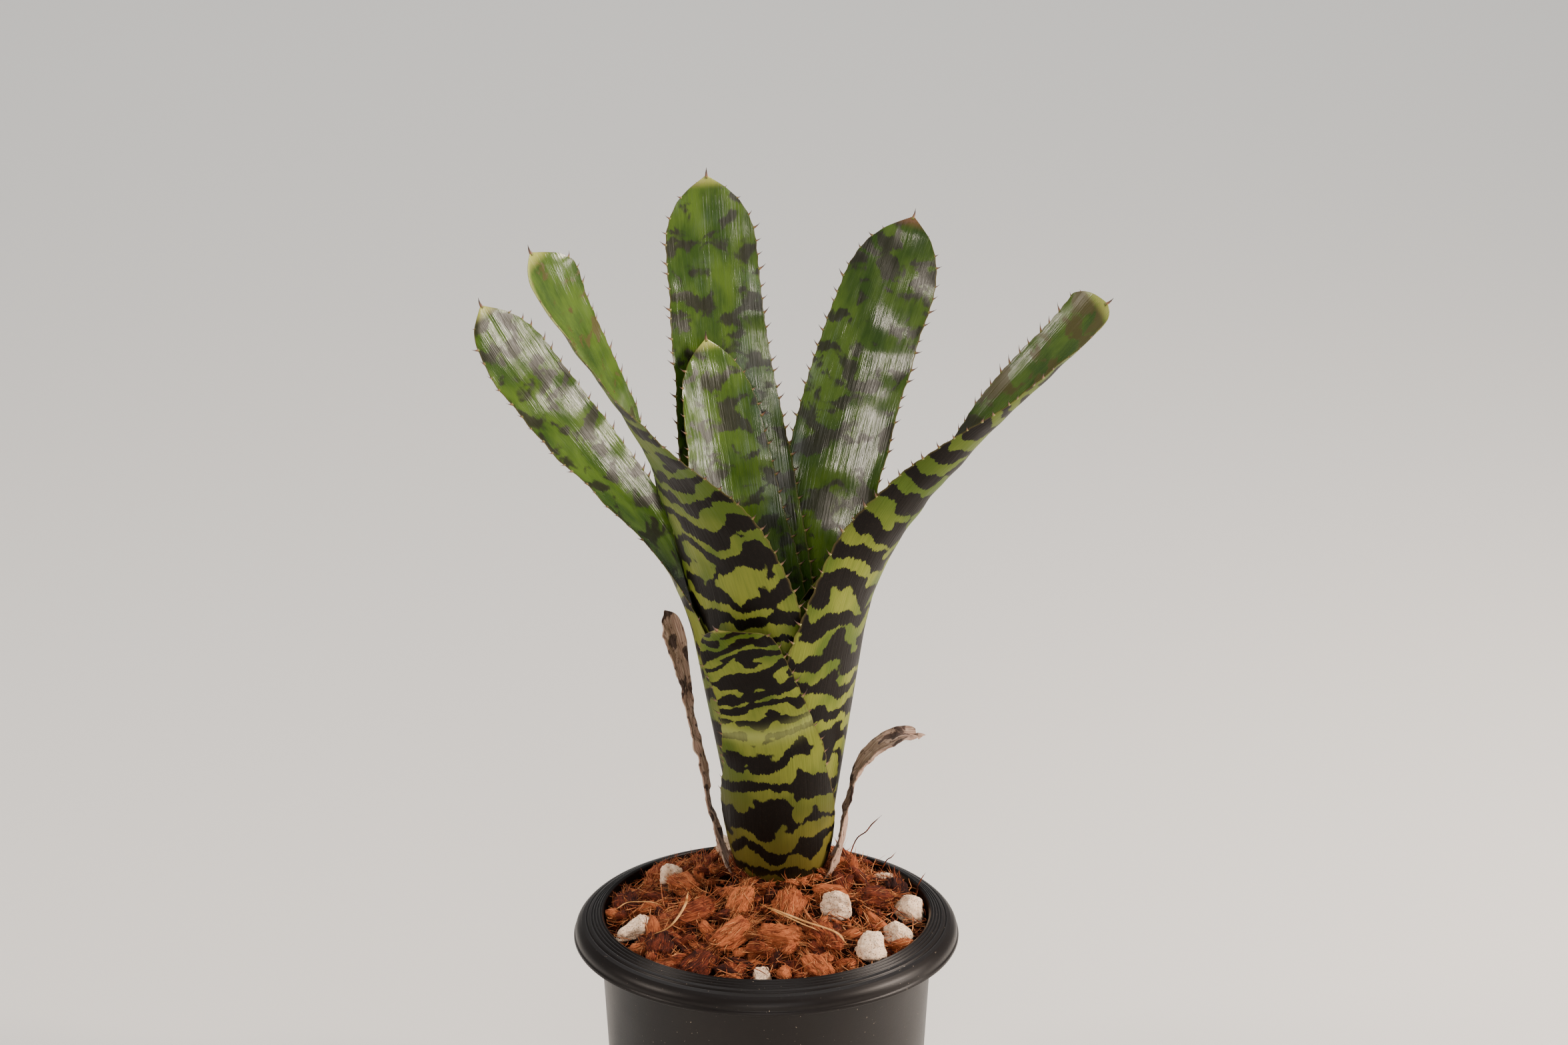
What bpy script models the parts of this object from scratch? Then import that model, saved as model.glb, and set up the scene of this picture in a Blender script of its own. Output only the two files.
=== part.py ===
# Potted bromeliad: a tube of banded strap leaves, rooted in coconut husk in a round nursery pot.
# The frame: metres, +Z up, origin on the ground at the pot's axis. The front is -Y.
# Leaf azimuths are in degrees from the front, turning towards +X.
import math

import bpy
import bmesh
import numpy as np
from mathutils import Vector, noise

MM = 0.001

# ---- pot ----
POT_HEIGHT = 95 * MM
MOUTH_RADIUS = 50.7 * MM
RIM_WIDTH = 9.3 * MM          # from the mouth's edge out to the lip
RIM_FALL = 3.2 * MM           # how far the sloping rim drops before its rounded shoulder
LIP_DEPTH = 8.2 * MM          # from the mouth's edge down to the lip's lower edge
POT_WALL = 1.5 * MM
POT_TAPER = 0.055             # wall slope, radius lost for each unit of height
FLOOR_LIFT = 2.5 * MM         # the drained floor stands this far off the ground
PAD_RADIUS = 12 * MM          # flat pad at the middle of the underside
FOOT_WIDTH = 2.2 * MM         # outer ring that the pot stands on
DRAIN_RADIUS = 3.2 * MM
DRAIN_COUNT = 8
POT_STEPS = 40

# ---- plant ----
PLANT_X = 4.7 * MM
PLANT_Y = 18 * MM
TUBE_BUTT_RADIUS = 10 * MM    # outer radius of the leaf tube where it meets the medium
TUBE_SWELL = 4 * MM           # quick widening just above the butt
TUBE_SWELL_HEIGHT = 5 * MM
TUBE_FLARE = 0.17             # steady widening, radius gained for each unit of height
PLANT_TILT = -0.02            # the plant stands a little off upright: shift in X for each unit of height
BUTT_LIFT = 2 * MM            # the butt radius is taken this far above the pot's mouth
LEAF_THICKNESS = 0.8 * MM
LEAF_GAP = 0.6 * MM           # clearance between nested sheaths
LEAF_STAGGER = 1.3 * MM       # each inner sheath starts this much higher on the stem
LEAST_HALF = 0.5 * MM         # half width left at a leaf's very tip
STEM_GAP = 0.35 * MM
STEM_DEPTH = 24 * MM          # length of the stock below the medium's surface

# ---- medium ----
FIT = 0.3 * MM                # clearance between pieces that touch
BED_AT_WALL = -7.5 * MM       # height of the medium at the wall, from the pot's mouth
BED_AT_PLANT = 2.5 * MM       # and round the plant
BED_ROUNDING = 0.5 * MM       # spare room under a flat piece that lies on the rounded medium
CHIP_THICKNESS = 4.2 * MM
PIECE_ROOM = 40.7 * MM        # mouth radius less the butt's, the room that the stones and chips below suit

# ---- grids: points along and across a leaf ----
LEAF_GRID = (26, 11)
YOUNG_GRID = (16, 7)
DRY_GRID = (22, 5)
DRY_LAYER = -1                # dry leaves stand one layer outside the outermost green one

LEAF_PITCH = LEAF_THICKNESS + LEAF_GAP
PLANT_AXIS = np.array([PLANT_X, PLANT_Y, 0.0])
UP = np.array([0.0, 0.0, 1.0])

# Leaves, outermost first. Angles in degrees, lengths in mm; a stop is (share of the way, value).
#   azimuth, lean, sway: the midrib's heading, its angle from upright and its sideways angle, along the blade
#   opens, opening: height above the mouth where the blade leaves the tube, and the length over which it does
#   blade, tip: length of the free blade, and of its rounded end
#   wrap: half angle that the sheath covers, along the sheath
#   half, curl, twist: half width, channel radius and turn about the midrib, along the blade
#   uneven: share of the half width kept on the side of growing azimuth, along the whole leaf
#   away: how far a sheath stands off its place in the tube; lift: where a dry leaf starts, above the mouth
LEAVES = {
    "leaf_7": dict(azimuth=((0, -4), (1, -16)), sway=((0, 0), (0.4, -14), (1, -26)), opens=46, blade=56,
                   wrap=((0, 100), (0.6, 72), (1, 46)), lean=((0, 9), (0.55, 10), (0.8, 18), (1, 50)),
                   twist=((0, 0), (1, 0)), half=((0, 16), (0.5, 13), (1, 13)), uneven=((0, 1), (1, 1)),
                   curl=((0, 36), (1, 44)), tip=14, opening=16, away=0.2),
    "leaf_4": dict(azimuth=((0, 78), (1, 84)), sway=((0, 0), (1, 0)), opens=84, blade=135,
                   wrap=((0, 95), (0.6, 80), (1, 71)),
                   lean=((0, 10), (0.12, 18), (0.3, 34), (0.5, 39), (0.75, 42), (1, 39)),
                   twist=((0, 0), (0.5, 2), (0.8, 16), (1, 26)),
                   half=((0, 27), (0.2, 28), (0.4, 22), (0.7, 14), (1, 12)),
                   uneven=((0, 1), (0.2, 0.9), (0.42, 0.42), (0.62, 0.42), (0.8, 0.95), (1, 1)),
                   curl=((0, 32), (0.35, 17), (1, 22)), tip=10, opening=34),
    "leaf_6": dict(azimuth=((0, -98), (1, -99)), sway=((0, 0), (1, 0)), opens=82, blade=123,
                   wrap=((0, 90), (0.6, 70), (1, 46)),
                   lean=((0, 10), (0.15, 20), (0.3, 35), (0.55, 39), (0.8, 35), (1, 26)),
                   twist=((0, 0), (0.25, -8), (0.6, -26), (1, -30)),
                   half=((0, 19), (0.3, 13.5), (0.7, 13.5), (1, 13)), uneven=((0, 1), (1, 1)),
                   curl=((0, 30), (0.4, 30), (1, 60)), tip=22, opening=34),
    "leaf_5": dict(azimuth=((0, -42), (0.3, -47), (0.6, -62), (1, -78)), sway=((0, 0), (1, 0)),
                   opens=86, blade=145,
                   wrap=((0, 90), (0.6, 72), (1, 60)),
                   lean=((0, 10), (0.15, 17), (0.3, 25), (0.5, 30), (0.75, 29), (1, 22)),
                   twist=((0, 0), (0.4, -5), (0.65, -20), (1, -38)),
                   half=((0, 24), (0.3, 21), (0.5, 17), (0.75, 14.5), (1, 16)),
                   uneven=((0, 1), (0.33, 1), (0.45, 1.15), (0.6, 1.15), (0.75, 1), (1, 1)),
                   curl=((0, 32), (0.4, 30), (1, 28)), tip=15, opening=34),
    "leaf_3": dict(azimuth=((0, 145), (1, 134)), sway=((0, 0), (1, 0)), opens=86, blade=128,
                   wrap=((0, 90), (0.6, 72), (1, 58)),
                   lean=((0, 10), (0.3, 20), (0.6, 27), (1, 28)), twist=((0, 0), (0.3, 10), (1, 14)),
                   half=((0, 20), (0.3, 17), (0.6, 16.5), (1, 15)), uneven=((0, 1), (1, 1)),
                   curl=((0, 30), (0.4, 40), (1, 70)), tip=24, opening=34),
    "leaf_1": dict(azimuth=((0, -156), (1, -162)), sway=((0, 0), (1, 0)), opens=88, blade=134,
                   wrap=((0, 85), (0.6, 70), (1, 58)),
                   lean=((0, 10), (0.3, 17), (0.6, 12), (1, 4)), twist=((0, 0), (1, -6)),
                   half=((0, 20), (0.3, 19), (0.6, 15.5), (1, 13.5)), uneven=((0, 1), (1, 1)),
                   curl=((0, 30), (0.4, 36), (1, 70)), tip=22, opening=34),
    "leaf_2": dict(azimuth=((0, -150), (1, -142)), sway=((0, 0), (1, 0)), opens=92, blade=80,
                   wrap=((0, 80), (0.6, 68), (1, 55)),
                   lean=((0, 10), (0.4, 13), (1, 12)), twist=((0, 0), (1, -8)),
                   half=((0, 16), (0.3, 16), (0.7, 13.5), (1, 12)), uneven=((0, 1), (1, 1)),
                   curl=((0, 28), (0.4, 28), (1, 40)), tip=26, opening=30),
}
YOUNG = {
    "young_leaf_1": dict(azimuth=((0, 40), (1, 40)), sway=((0, 0), (1, 0)), opens=84, blade=26,
                         wrap=((0, 75), (1, 50)), lean=((0, 10), (1, 9)), twist=((0, 0), (1, 0)),
                         half=((0, 11), (1, 8)), uneven=((0, 1), (1, 1)),
                         curl=((0, 17), (1, 24)), tip=22, opening=20),
    "young_leaf_2": dict(azimuth=((0, -70), (1, -70)), sway=((0, 0), (1, 0)), opens=64, blade=24,
                         wrap=((0, 70), (1, 50)), lean=((0, 10), (1, 8)), twist=((0, 0), (1, 0)),
                         half=((0, 9), (1, 6)), uneven=((0, 1), (1, 1)),
                         curl=((0, 13), (1, 18)), tip=18, opening=20),
}
# Dried lower leaves stand outside the tube: "away" is their midrib's distance from the tube at its foot.
DRY = {
    "dry_leaf_left": dict(azimuth=((0, -92), (1, -94)), sway=((0, 0), (1, 4)), lift=5, opens=14, blade=80,
                          wrap=((0, 22), (1, 14)), away=2.2, lean=((0, 12), (0.5, 9), (0.8, 11), (1, 16)),
                          twist=((0, 0), (0.5, -30), (1, -40)),
                          half=((0, 3.2), (0.35, 1.6), (0.7, 2.4), (0.9, 4.6), (1, 4)),
                          uneven=((0, 1), (1, 1)), curl=((0, 12), (1, 6)), tip=5, opening=10),
    "dry_leaf_right": dict(azimuth=((0, 84), (1, 96)), sway=((0, 0), (1, 0)), lift=5, opens=14, blade=52,
                           wrap=((0, 26), (1, 16)), away=2.2,
                           lean=((0, 14), (0.35, 10), (0.55, 34), (0.75, 60), (1, 98)),
                           twist=((0, 0), (0.4, 30), (1, 10)),
                           half=((0, 4), (0.35, 1.6), (0.6, 4), (0.85, 4), (1, 3)),
                           uneven=((0, 1), (1, 1)), curl=((0, 12), (1, 7)), tip=5, opening=10),
}

# Stones and husk chips lie on the medium: azimuth from the front about the plant-to-wall rings, the share
# of the way from the plant to the wall, length, width and height in mm, and yaw in degrees.
STONES = {
    "stone_1": (-110, 0.56, 8.5, 7.0, 10.0, 20), "stone_2": (-146, 0.34, 9.0, 7.0, 7.0, 90),
    "stone_3": (-72, 0.80, 15.0, 8.0, 6.5, 15), "stone_4": (46, 0.36, 10.0, 8.5, 9.5, 70),
    "stone_5": (88, 0.81, 10.0, 9.0, 9.0, 35), "stone_6": (46, 0.82, 13.0, 10.5, 8.5, -30),
    "stone_7": (67, 0.80, 9.0, 8.0, 7.0, 10), "stone_8": (-2, 0.86, 9.0, 6.5, 6.0, 5),
    "stone_9": (124, 0.80, 8.0, 5.5, 5.0, 40),
}
CHIPS = {
    "chip_01": (-30, 0.28, 13.0, 7.5, 10), "chip_02": (8, 0.26, 14.0, 8.0, -8),
    "chip_03": (-88, 0.42, 12.0, 7.0, 100), "chip_04": (-52, 0.50, 12.0, 8.0, 150),
    "chip_05": (-22, 0.56, 13.0, 7.5, -25), "chip_06": (4, 0.55, 12.5, 8.0, 80),
    "chip_07": (26, 0.58, 13.0, 7.0, 15), "chip_08": (80, 0.50, 12.0, 7.5, 60),
    "chip_09": (104, 0.72, 12.0, 7.0, -70), "chip_10": (-94, 0.84, 11.0, 7.0, 75),
    "chip_11": (-50, 0.82, 12.0, 7.5, 40), "chip_12": (-28, 0.86, 12.5, 8.0, -10),
    "chip_13": (20, 0.86, 12.0, 7.5, 20), "chip_14": (-128, 0.80, 11.0, 6.5, 80),
    "chip_15": (-160, 0.62, 11.0, 6.5, 95), "chip_16": (174, 0.50, 12.0, 6.5, 88),
    "chip_17": (146, 0.62, 11.0, 6.5, 86),
}


# ---- small helpers ----

def through(u, stops):
    # a smooth curve through the stops, each a pair (place, value), by cubic Hermite pieces
    x, y = np.array(stops, float).T
    slope = np.gradient(y, x)
    i = np.clip(np.searchsorted(x, u) - 1, 0, len(x) - 2)
    span = x[i + 1] - x[i]
    t = np.clip((u - x[i]) / span, 0, 1)
    return ((1 + 2 * t) * (1 - t) ** 2 * y[i] + t * (1 - t) ** 2 * span * slope[i]
            + t ** 2 * (3 - 2 * t) * y[i + 1] + t ** 2 * (t - 1) * span * slope[i + 1])


def ease(t):
    t = np.clip(t, 0, 1)
    return t * t * (3 - 2 * t)


def unit(v):
    return v / np.linalg.norm(v, axis=-1, keepdims=True)


def outward(azimuth):
    a = np.radians(azimuth)
    return np.stack([np.sin(a), -np.cos(a), np.zeros_like(a)], -1)


def sideways(azimuth):
    a = np.radians(azimuth)
    return np.stack([np.cos(a), np.sin(a), np.zeros_like(a)], -1)


def tilted(points):
    # shears the plant about the pot's mouth, so that nested sheaths stay nested
    return points + PLANT_TILT * (points[..., 2:3] - POT_HEIGHT) * np.array([1.0, 0.0, 0.0])


def tube_radius(height):
    # outer radius of the outermost sheath's middle surface, at a height above the pot's mouth
    h = height - BUTT_LIFT
    return TUBE_BUTT_RADIUS + TUBE_SWELL * (1 - np.exp(-h / TUBE_SWELL_HEIGHT)) + TUBE_FLARE * h


def material(name, colour, roughness, metallic=0.0):
    m = bpy.data.materials.new(name)
    m.use_nodes = True
    shader = m.node_tree.nodes["Principled BSDF"]
    shader.inputs["Base Color"].default_value = (*colour, 1.0)
    shader.inputs["Roughness"].default_value = roughness
    shader.inputs["Metallic"].default_value = metallic
    return m


def add_object(name, mesh, finish, collection):
    obj = bpy.data.objects.new(name, mesh)
    mesh.materials.append(finish)
    collection.objects.link(obj)
    mesh.shade_smooth()
    mesh.set_sharp_from_angle(angle=math.radians(40))
    return obj


def grid_mesh(name, points):
    # an open sheet through a grid of points, rows by columns
    rows, columns = points.shape[:2]
    index = np.arange(rows * columns).reshape(rows, columns)
    faces = np.stack([index[:-1, :-1], index[:-1, 1:], index[1:, 1:], index[1:, :-1]], -1).reshape(-1, 4)
    mesh = bpy.data.meshes.new(name)
    mesh.from_pydata(points.reshape(-1, 3).tolist(), [], faces.tolist())
    return mesh


def ring_mesh(name, rings, steps):
    # a closed solid through horizontal circles (x, y, radius, z); the first and last are points.
    # The rings run inside to outside, then down, so that the faces point out.
    angle = np.arange(steps) * 2 * math.pi / steps
    verts = [(rings[0][0], rings[0][1], rings[0][3])]
    for x, y, radius, z in rings[1:-1]:
        verts += [(x + radius * math.cos(a), y + radius * math.sin(a), z) for a in angle]
    verts.append((rings[-1][0], rings[-1][1], rings[-1][3]))
    last = len(verts) - 1
    faces = []
    for s in range(steps):
        n = (s + 1) % steps
        faces.append((0, 1 + s, 1 + n))
        for k in range(len(rings) - 3):
            a, b = 1 + k * steps, 1 + (k + 1) * steps
            faces.append((a + s, b + s, b + n, a + n))
        a = 1 + (len(rings) - 3) * steps
        faces.append((a + s, last, a + n))
    mesh = bpy.data.meshes.new(name)
    mesh.from_pydata(verts, [], faces)
    return mesh


# ---- pot ----

def wall_radius(z):
    # outer radius of the pot's body
    return MOUTH_RADIUS + POT_WALL - POT_TAPER * (POT_HEIGHT - z)


def inner_radius(z):
    return wall_radius(z) - POT_WALL


def pot_profile():
    floor = FLOOR_LIFT + POT_WALL
    rim = MOUTH_RADIUS + RIM_WIDTH
    top = POT_HEIGHT
    shoulder = top - RIM_FALL
    lip = top - LIP_DEPTH
    foot = wall_radius(0)
    inside = [(0, POT_WALL), (PAD_RADIUS - POT_WALL, POT_WALL), (PAD_RADIUS + 0.5 * MM, floor),
              (foot - FOOT_WIDTH - 3.6 * MM, floor), (foot - FOOT_WIDTH - 1.6 * MM, POT_WALL),
              (inner_radius(POT_WALL) - 0.6 * MM, POT_WALL), (inner_radius(3 * MM), 3 * MM),
              (inner_radius(top - 1.2 * MM), top - 1.2 * MM), (MOUTH_RADIUS, top - 0.5 * MM)]
    crest = [(MOUTH_RADIUS + 0.6 * MM, top), (rim - 2.6 * MM, shoulder + 0.4 * MM),
             (rim - 1.2 * MM, shoulder - 0.8 * MM), (rim - 0.5 * MM, shoulder - 2.2 * MM),
             (rim - 0.5 * MM, lip + 1.5 * MM), (rim, lip + 1.1 * MM), (rim, lip)]
    under = [(rim - POT_WALL - 0.3 * MM, lip), (rim - POT_WALL - 0.5 * MM, shoulder - 2.6 * MM),
             (rim - POT_WALL - 1.8 * MM, shoulder - 1.3 * MM),
             (wall_radius(shoulder) + 0.6 * MM, shoulder + 0.6 * MM),
             (wall_radius(shoulder - MM), shoulder - 0.4 * MM)]
    outside = [(wall_radius(1.2 * MM), 1.2 * MM), (foot - 0.9 * MM, 0), (foot - 0.9 * MM - FOOT_WIDTH, 0),
               (foot - FOOT_WIDTH - 4.6 * MM, FLOOR_LIFT), (PAD_RADIUS + 2 * MM, FLOOR_LIFT),
               (PAD_RADIUS, 0), (0, 0)]
    return inside + crest + under + outside


def build_pot(finish, collection, cutters):
    profile = pot_profile()
    mesh = bpy.data.meshes.new("pot")
    edges = [(i, i + 1) for i in range(len(profile) - 1)]
    mesh.from_pydata([(r, 0, z) for r, z in profile], edges, [])
    pot = bpy.data.objects.new("pot", mesh)
    mesh.materials.append(finish)
    collection.objects.link(pot)
    turn = pot.modifiers.new("turn", "SCREW")
    turn.steps = turn.render_steps = POT_STEPS
    turn.use_merge_vertices = True
    turn.merge_threshold = 0.00005
    turn.use_smooth_shade = True
    drill = bmesh.new()
    ring = (PAD_RADIUS + wall_radius(0) - FOOT_WIDTH) / 2
    for i in range(DRAIN_COUNT):
        made = bmesh.ops.create_cone(drill, cap_ends=True, segments=12, radius1=DRAIN_RADIUS,
                                     radius2=DRAIN_RADIUS, depth=3 * (FLOOR_LIFT + POT_WALL))
        a = 2 * math.pi * i / DRAIN_COUNT
        spot = (ring * math.cos(a), ring * math.sin(a), FLOOR_LIFT)
        bmesh.ops.translate(drill, verts=made["verts"], vec=spot)
    drill_mesh = bpy.data.meshes.new("drain_drill")
    drill.to_mesh(drill_mesh)
    drill.free()
    cutter = bpy.data.objects.new("drain_drill", drill_mesh)
    cutter.hide_render = True
    cutter.display_type = "WIRE"
    cutters.objects.link(cutter)
    cut = pot.modifiers.new("drain_holes", "BOOLEAN")
    cut.operation = "DIFFERENCE"
    cut.solver = "EXACT"
    cut.object = cutter
    return pot


# ---- medium and stem ----

def sheath_count(height):
    # how many sheaths have started by a height above the pot's mouth
    return int(np.clip(math.floor(height / LEAF_STAGGER) + 1, 0, len(LEAVES) + len(YOUNG)))


def stem_radius(height):
    started = max(sheath_count(height), sheath_count(height + LEAF_STAGGER))
    return tube_radius(max(height, 0)) - started * LEAF_PITCH + LEAF_GAP - STEM_GAP - LEAF_THICKNESS / 2


def stem_top():
    return (len(LEAVES) + len(YOUNG)) * LEAF_STAGGER + 2 * MM


def stock_radius():
    heights = np.linspace(0, stem_top() * 0.6, 12)
    return min(stem_radius(h) for h in heights) * 0.95


def build_stem(finish, collection):
    top = POT_HEIGHT + stem_top()
    stock = stock_radius()
    bottom = POT_HEIGHT + BED_AT_PLANT - STEM_DEPTH
    narrow = stem_radius(stem_top()) * 0.8
    levels = [(0, top), (narrow * 0.7, top - 0.4 * MM), (narrow, top - 1.4 * MM),
              (stock, POT_HEIGHT + stem_top() * 0.45), (stock, bottom + 6 * MM),
              (stock * 0.8, bottom + 2 * MM), (stock * 0.4, bottom + 0.4 * MM), (0, bottom)]
    rings = [(PLANT_X + PLANT_TILT * (z - POT_HEIGHT), PLANT_Y, r, z) for r, z in levels]
    return add_object("stem", ring_mesh("stem", rings, 14), finish, collection)


def bed_bore(height):
    return tube_radius(max(height, 0)) + LEAF_THICKNESS / 2 + 2 * FIT


def bed_ring(share):
    # a circle on the medium's top: share 0 hugs the plant, 1 meets the pot's wall
    wall_z = POT_HEIGHT + BED_AT_WALL
    radius = bed_bore(BED_AT_PLANT) * (1 - share) + (inner_radius(wall_z) - FIT) * share
    z = wall_z + (BED_AT_PLANT - BED_AT_WALL) * (1 - ease(share * 0.92))
    z = z if share < 1 else wall_z
    return PLANT_X * (1 - share), PLANT_Y * (1 - share), float(radius), float(z)


def build_bed(finish, collection):
    floor = FLOOR_LIFT + POT_WALL + FIT
    pad = PAD_RADIUS - POT_WALL - FIT
    stock = stock_radius() + FIT
    bottom = POT_HEIGHT + BED_AT_PLANT - STEM_DEPTH - FIT
    mouth = POT_HEIGHT - FIT - LEAF_THICKNESS
    foot = wall_radius(0) - FOOT_WIDTH - 3.8 * MM
    rings = [(PLANT_X, PLANT_Y, 0, bottom), (PLANT_X, PLANT_Y, stock, bottom),
             (PLANT_X, PLANT_Y, stock, mouth), (PLANT_X, PLANT_Y, bed_bore(0), mouth),
             (PLANT_X, PLANT_Y, bed_bore(0), POT_HEIGHT)]
    rings += [bed_ring(share) for share in (0, 0.2, 0.4, 0.6, 0.8, 1)]
    rings += [(0, 0, inner_radius(6 * MM) - FIT, 6 * MM), (0, 0, foot, floor),
              (0, 0, PAD_RADIUS + 0.5 * MM, floor), (0, 0, pad, POT_WALL + FIT), (0, 0, 0, POT_WALL + FIT)]
    return add_object("medium_bed", ring_mesh("medium_bed", rings, 40), finish, collection)


# ---- leaves ----

def leaf_path(spec, layer):
    # the midrib: up the tube's wall at this layer's radius, then along the blade's lean and azimuth
    base = spec["lift"] * MM if "lift" in spec else layer * LEAF_STAGGER
    height = np.linspace(base, spec["opens"] * MM, 60)
    radius = tube_radius(height) - layer * LEAF_PITCH + spec.get("away", 0) * MM
    turn = np.full_like(height, spec["azimuth"][0][1])
    sheath = PLANT_AXIS + radius[:, None] * outward(turn) + (POT_HEIGHT + height)[:, None] * UP
    t = np.linspace(0, 1, 120)
    azimuth = through(t, spec["azimuth"])
    lean = np.radians(through(t, spec["lean"]))
    sway = np.radians(through(t, spec["sway"]))[:, None]
    rise = np.cos(sway) * UP + np.sin(sway) * sideways(azimuth)
    ahead = np.sin(lean)[:, None] * outward(azimuth) + np.cos(lean)[:, None] * rise
    step = spec["blade"] * MM / (len(t) - 1)
    blade = sheath[-1] + np.vstack([np.zeros(3), np.cumsum((ahead[1:] + ahead[:-1]) / 2, 0)]) * step
    path = np.vstack([sheath, blade[1:]])
    along = np.concatenate([[0], np.cumsum(np.linalg.norm(np.diff(path, axis=0), axis=1))])
    return dict(path=path, along=along, azimuth=np.concatenate([turn, azimuth[1:]]),
                wall=np.concatenate([radius, np.full(len(t) - 1, radius[-1])]),
                opened=along[len(height) - 1], blade=spec["blade"] * MM)


def leaf_rows(way, rows):
    # places along a leaf: close together at the foot and the tip, where its shape turns fastest
    sheath = np.linspace(0, 1, rows // 3, endpoint=False) ** 1.6
    blade = 1 - (1 - np.linspace(0, 1, rows - rows // 3)) ** 1.3
    length = way["along"][-1] - way["opened"]
    return np.concatenate([sheath * way["opened"], way["opened"] + blade * length])


def leaf_sheet(spec, layer, rows, columns):
    # Middle surface of a leaf. Across the midrib each row is an arc P = M + c sin(a) B + c (1 - cos(a)) N.
    # In the sheath the arc is a level circle about the plant's axis, so sheaths nest; in the blade it
    # is a channel of radius "curl" square to the midrib, turned by "twist".
    way = leaf_path(spec, layer)
    s = leaf_rows(way, rows)
    pick = lambda column: np.interp(s, way["along"], column)
    middle = np.stack([pick(way["path"][:, k]) for k in range(3)], -1)
    azimuth, wall = pick(way["azimuth"]), pick(way["wall"])
    sheath_share = np.clip(s / way["opened"], 0, 1)
    blade_share = np.clip((s - way["opened"]) / way["blade"], 0, 1)
    opened = ease((s - way["opened"]) / (spec["opening"] * MM))
    ahead = unit(np.gradient(middle, s, axis=0))
    side = sideways(azimuth)
    side = unit(side - (side * ahead).sum(-1, keepdims=True) * ahead)
    inward = unit(np.cross(ahead, side))
    inward = inward * np.sign(-(inward * outward(azimuth)).sum(-1, keepdims=True))
    twist = np.radians(through(blade_share, spec["twist"]))[:, None]
    across = np.cos(twist) * side + np.sin(twist) * inward
    normal = np.cos(twist) * inward - np.sin(twist) * side
    blend = opened[:, None]
    normal = unit((1 - blend) * -outward(azimuth) + blend * normal)
    across = unit((1 - blend) * side + blend * across)
    wrap = np.radians(through(sheath_share, spec["wrap"]))
    left = way["along"][-1] - s
    tip = spec["tip"] * MM
    rounded = (1 - (1 - np.clip(left / tip, 0, 1)) ** 2) ** 0.6
    half = through(blade_share, spec["half"]) * MM
    half = ((1 - opened) * wrap * wall + opened * half) * rounded + LEAST_HALF
    curl = (1 - opened) * wall + opened * through(blade_share, spec["curl"]) * MM
    v = np.linspace(-1, 1, columns)[None, :]
    kept = through(s / way["along"][-1], spec["uneven"])[:, None]
    a = v * (half / curl)[:, None] * np.where(v > 0, kept, 1)
    return tilted(middle[:, None] + (curl[:, None] * np.sin(a))[..., None] * across[:, None]
                  + (curl[:, None] * (1 - np.cos(a)))[..., None] * normal[:, None])


def build_leaf(name, spec, layer, rows, columns, finish, collection):
    mesh = grid_mesh(name, leaf_sheet(spec, layer, rows, columns))
    leaf = add_object(name, mesh, finish, collection)
    solid = leaf.modifiers.new("thickness", "SOLIDIFY")
    solid.thickness = LEAF_THICKNESS
    solid.offset = 0
    solid.use_even_offset = True
    return leaf


# ---- stones and husk chips ----

def lying_frame(azimuth, share, yaw, rise):
    # where a piece lies on the medium, and the turn that lays it along the slope
    out = Vector(outward(azimuth))
    nudge = 0.02
    high, at, low = [Vector((x, y, z)) + out * radius
                     for x, y, radius, z in map(bed_ring, (share - nudge, share, share + nudge))]
    along = (low - high).normalized()
    across = Vector((0, 0, 1)).cross(along).normalized()
    up = along.cross(across).normalized()
    spin = math.radians(yaw)
    ahead = along * math.cos(spin) + across * math.sin(spin)
    beside = up.cross(ahead)
    return at + up * rise, ahead, beside, up


def lay_piece(name, bm, azimuth, share, yaw, finish, collection):
    # sets a shape modelled round the origin down on the medium, its lowest point one clearance above it
    lowest = min(v.co.z for v in bm.verts)
    at, ahead, beside, up = lying_frame(azimuth, share, yaw, FIT + BED_ROUNDING - lowest)
    for v in bm.verts:
        v.co = at + ahead * v.co.x + beside * v.co.y + up * v.co.z
    mesh = bpy.data.meshes.new(name)
    bm.to_mesh(mesh)
    bm.free()
    return add_object(name, mesh, finish, collection)


def room_at(azimuth, room):
    # how wide the medium is on one side of the plant, which stands off the pot's middle
    return np.linalg.norm(room * outward(azimuth)[:2] - PLANT_AXIS[:2])


def piece_scale(azimuth):
    # a stone or chip follows the room between the plant and the pot's wall on its own side
    return float(room_at(azimuth, MOUTH_RADIUS - TUBE_BUTT_RADIUS) / room_at(azimuth, PIECE_ROOM))


def build_stone(name, size, finish, collection):
    azimuth, share, length, width, height, yaw = size
    bm = bmesh.new()
    bmesh.ops.create_icosphere(bm, subdivisions=2, radius=1)
    seed = Vector((azimuth * 0.37, share * 11.0, length))
    half = Vector((length, width, height)) * (MM / 2 * piece_scale(azimuth))
    for v in bm.verts:
        lumps = 1 + 0.22 * noise.noise(v.co * 1.3 + seed)
        v.co = Vector((v.co.x * half.x, v.co.y * half.y, v.co.z * half.z)) * lumps
    return lay_piece(name, bm, azimuth, share, yaw, finish, collection)


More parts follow.
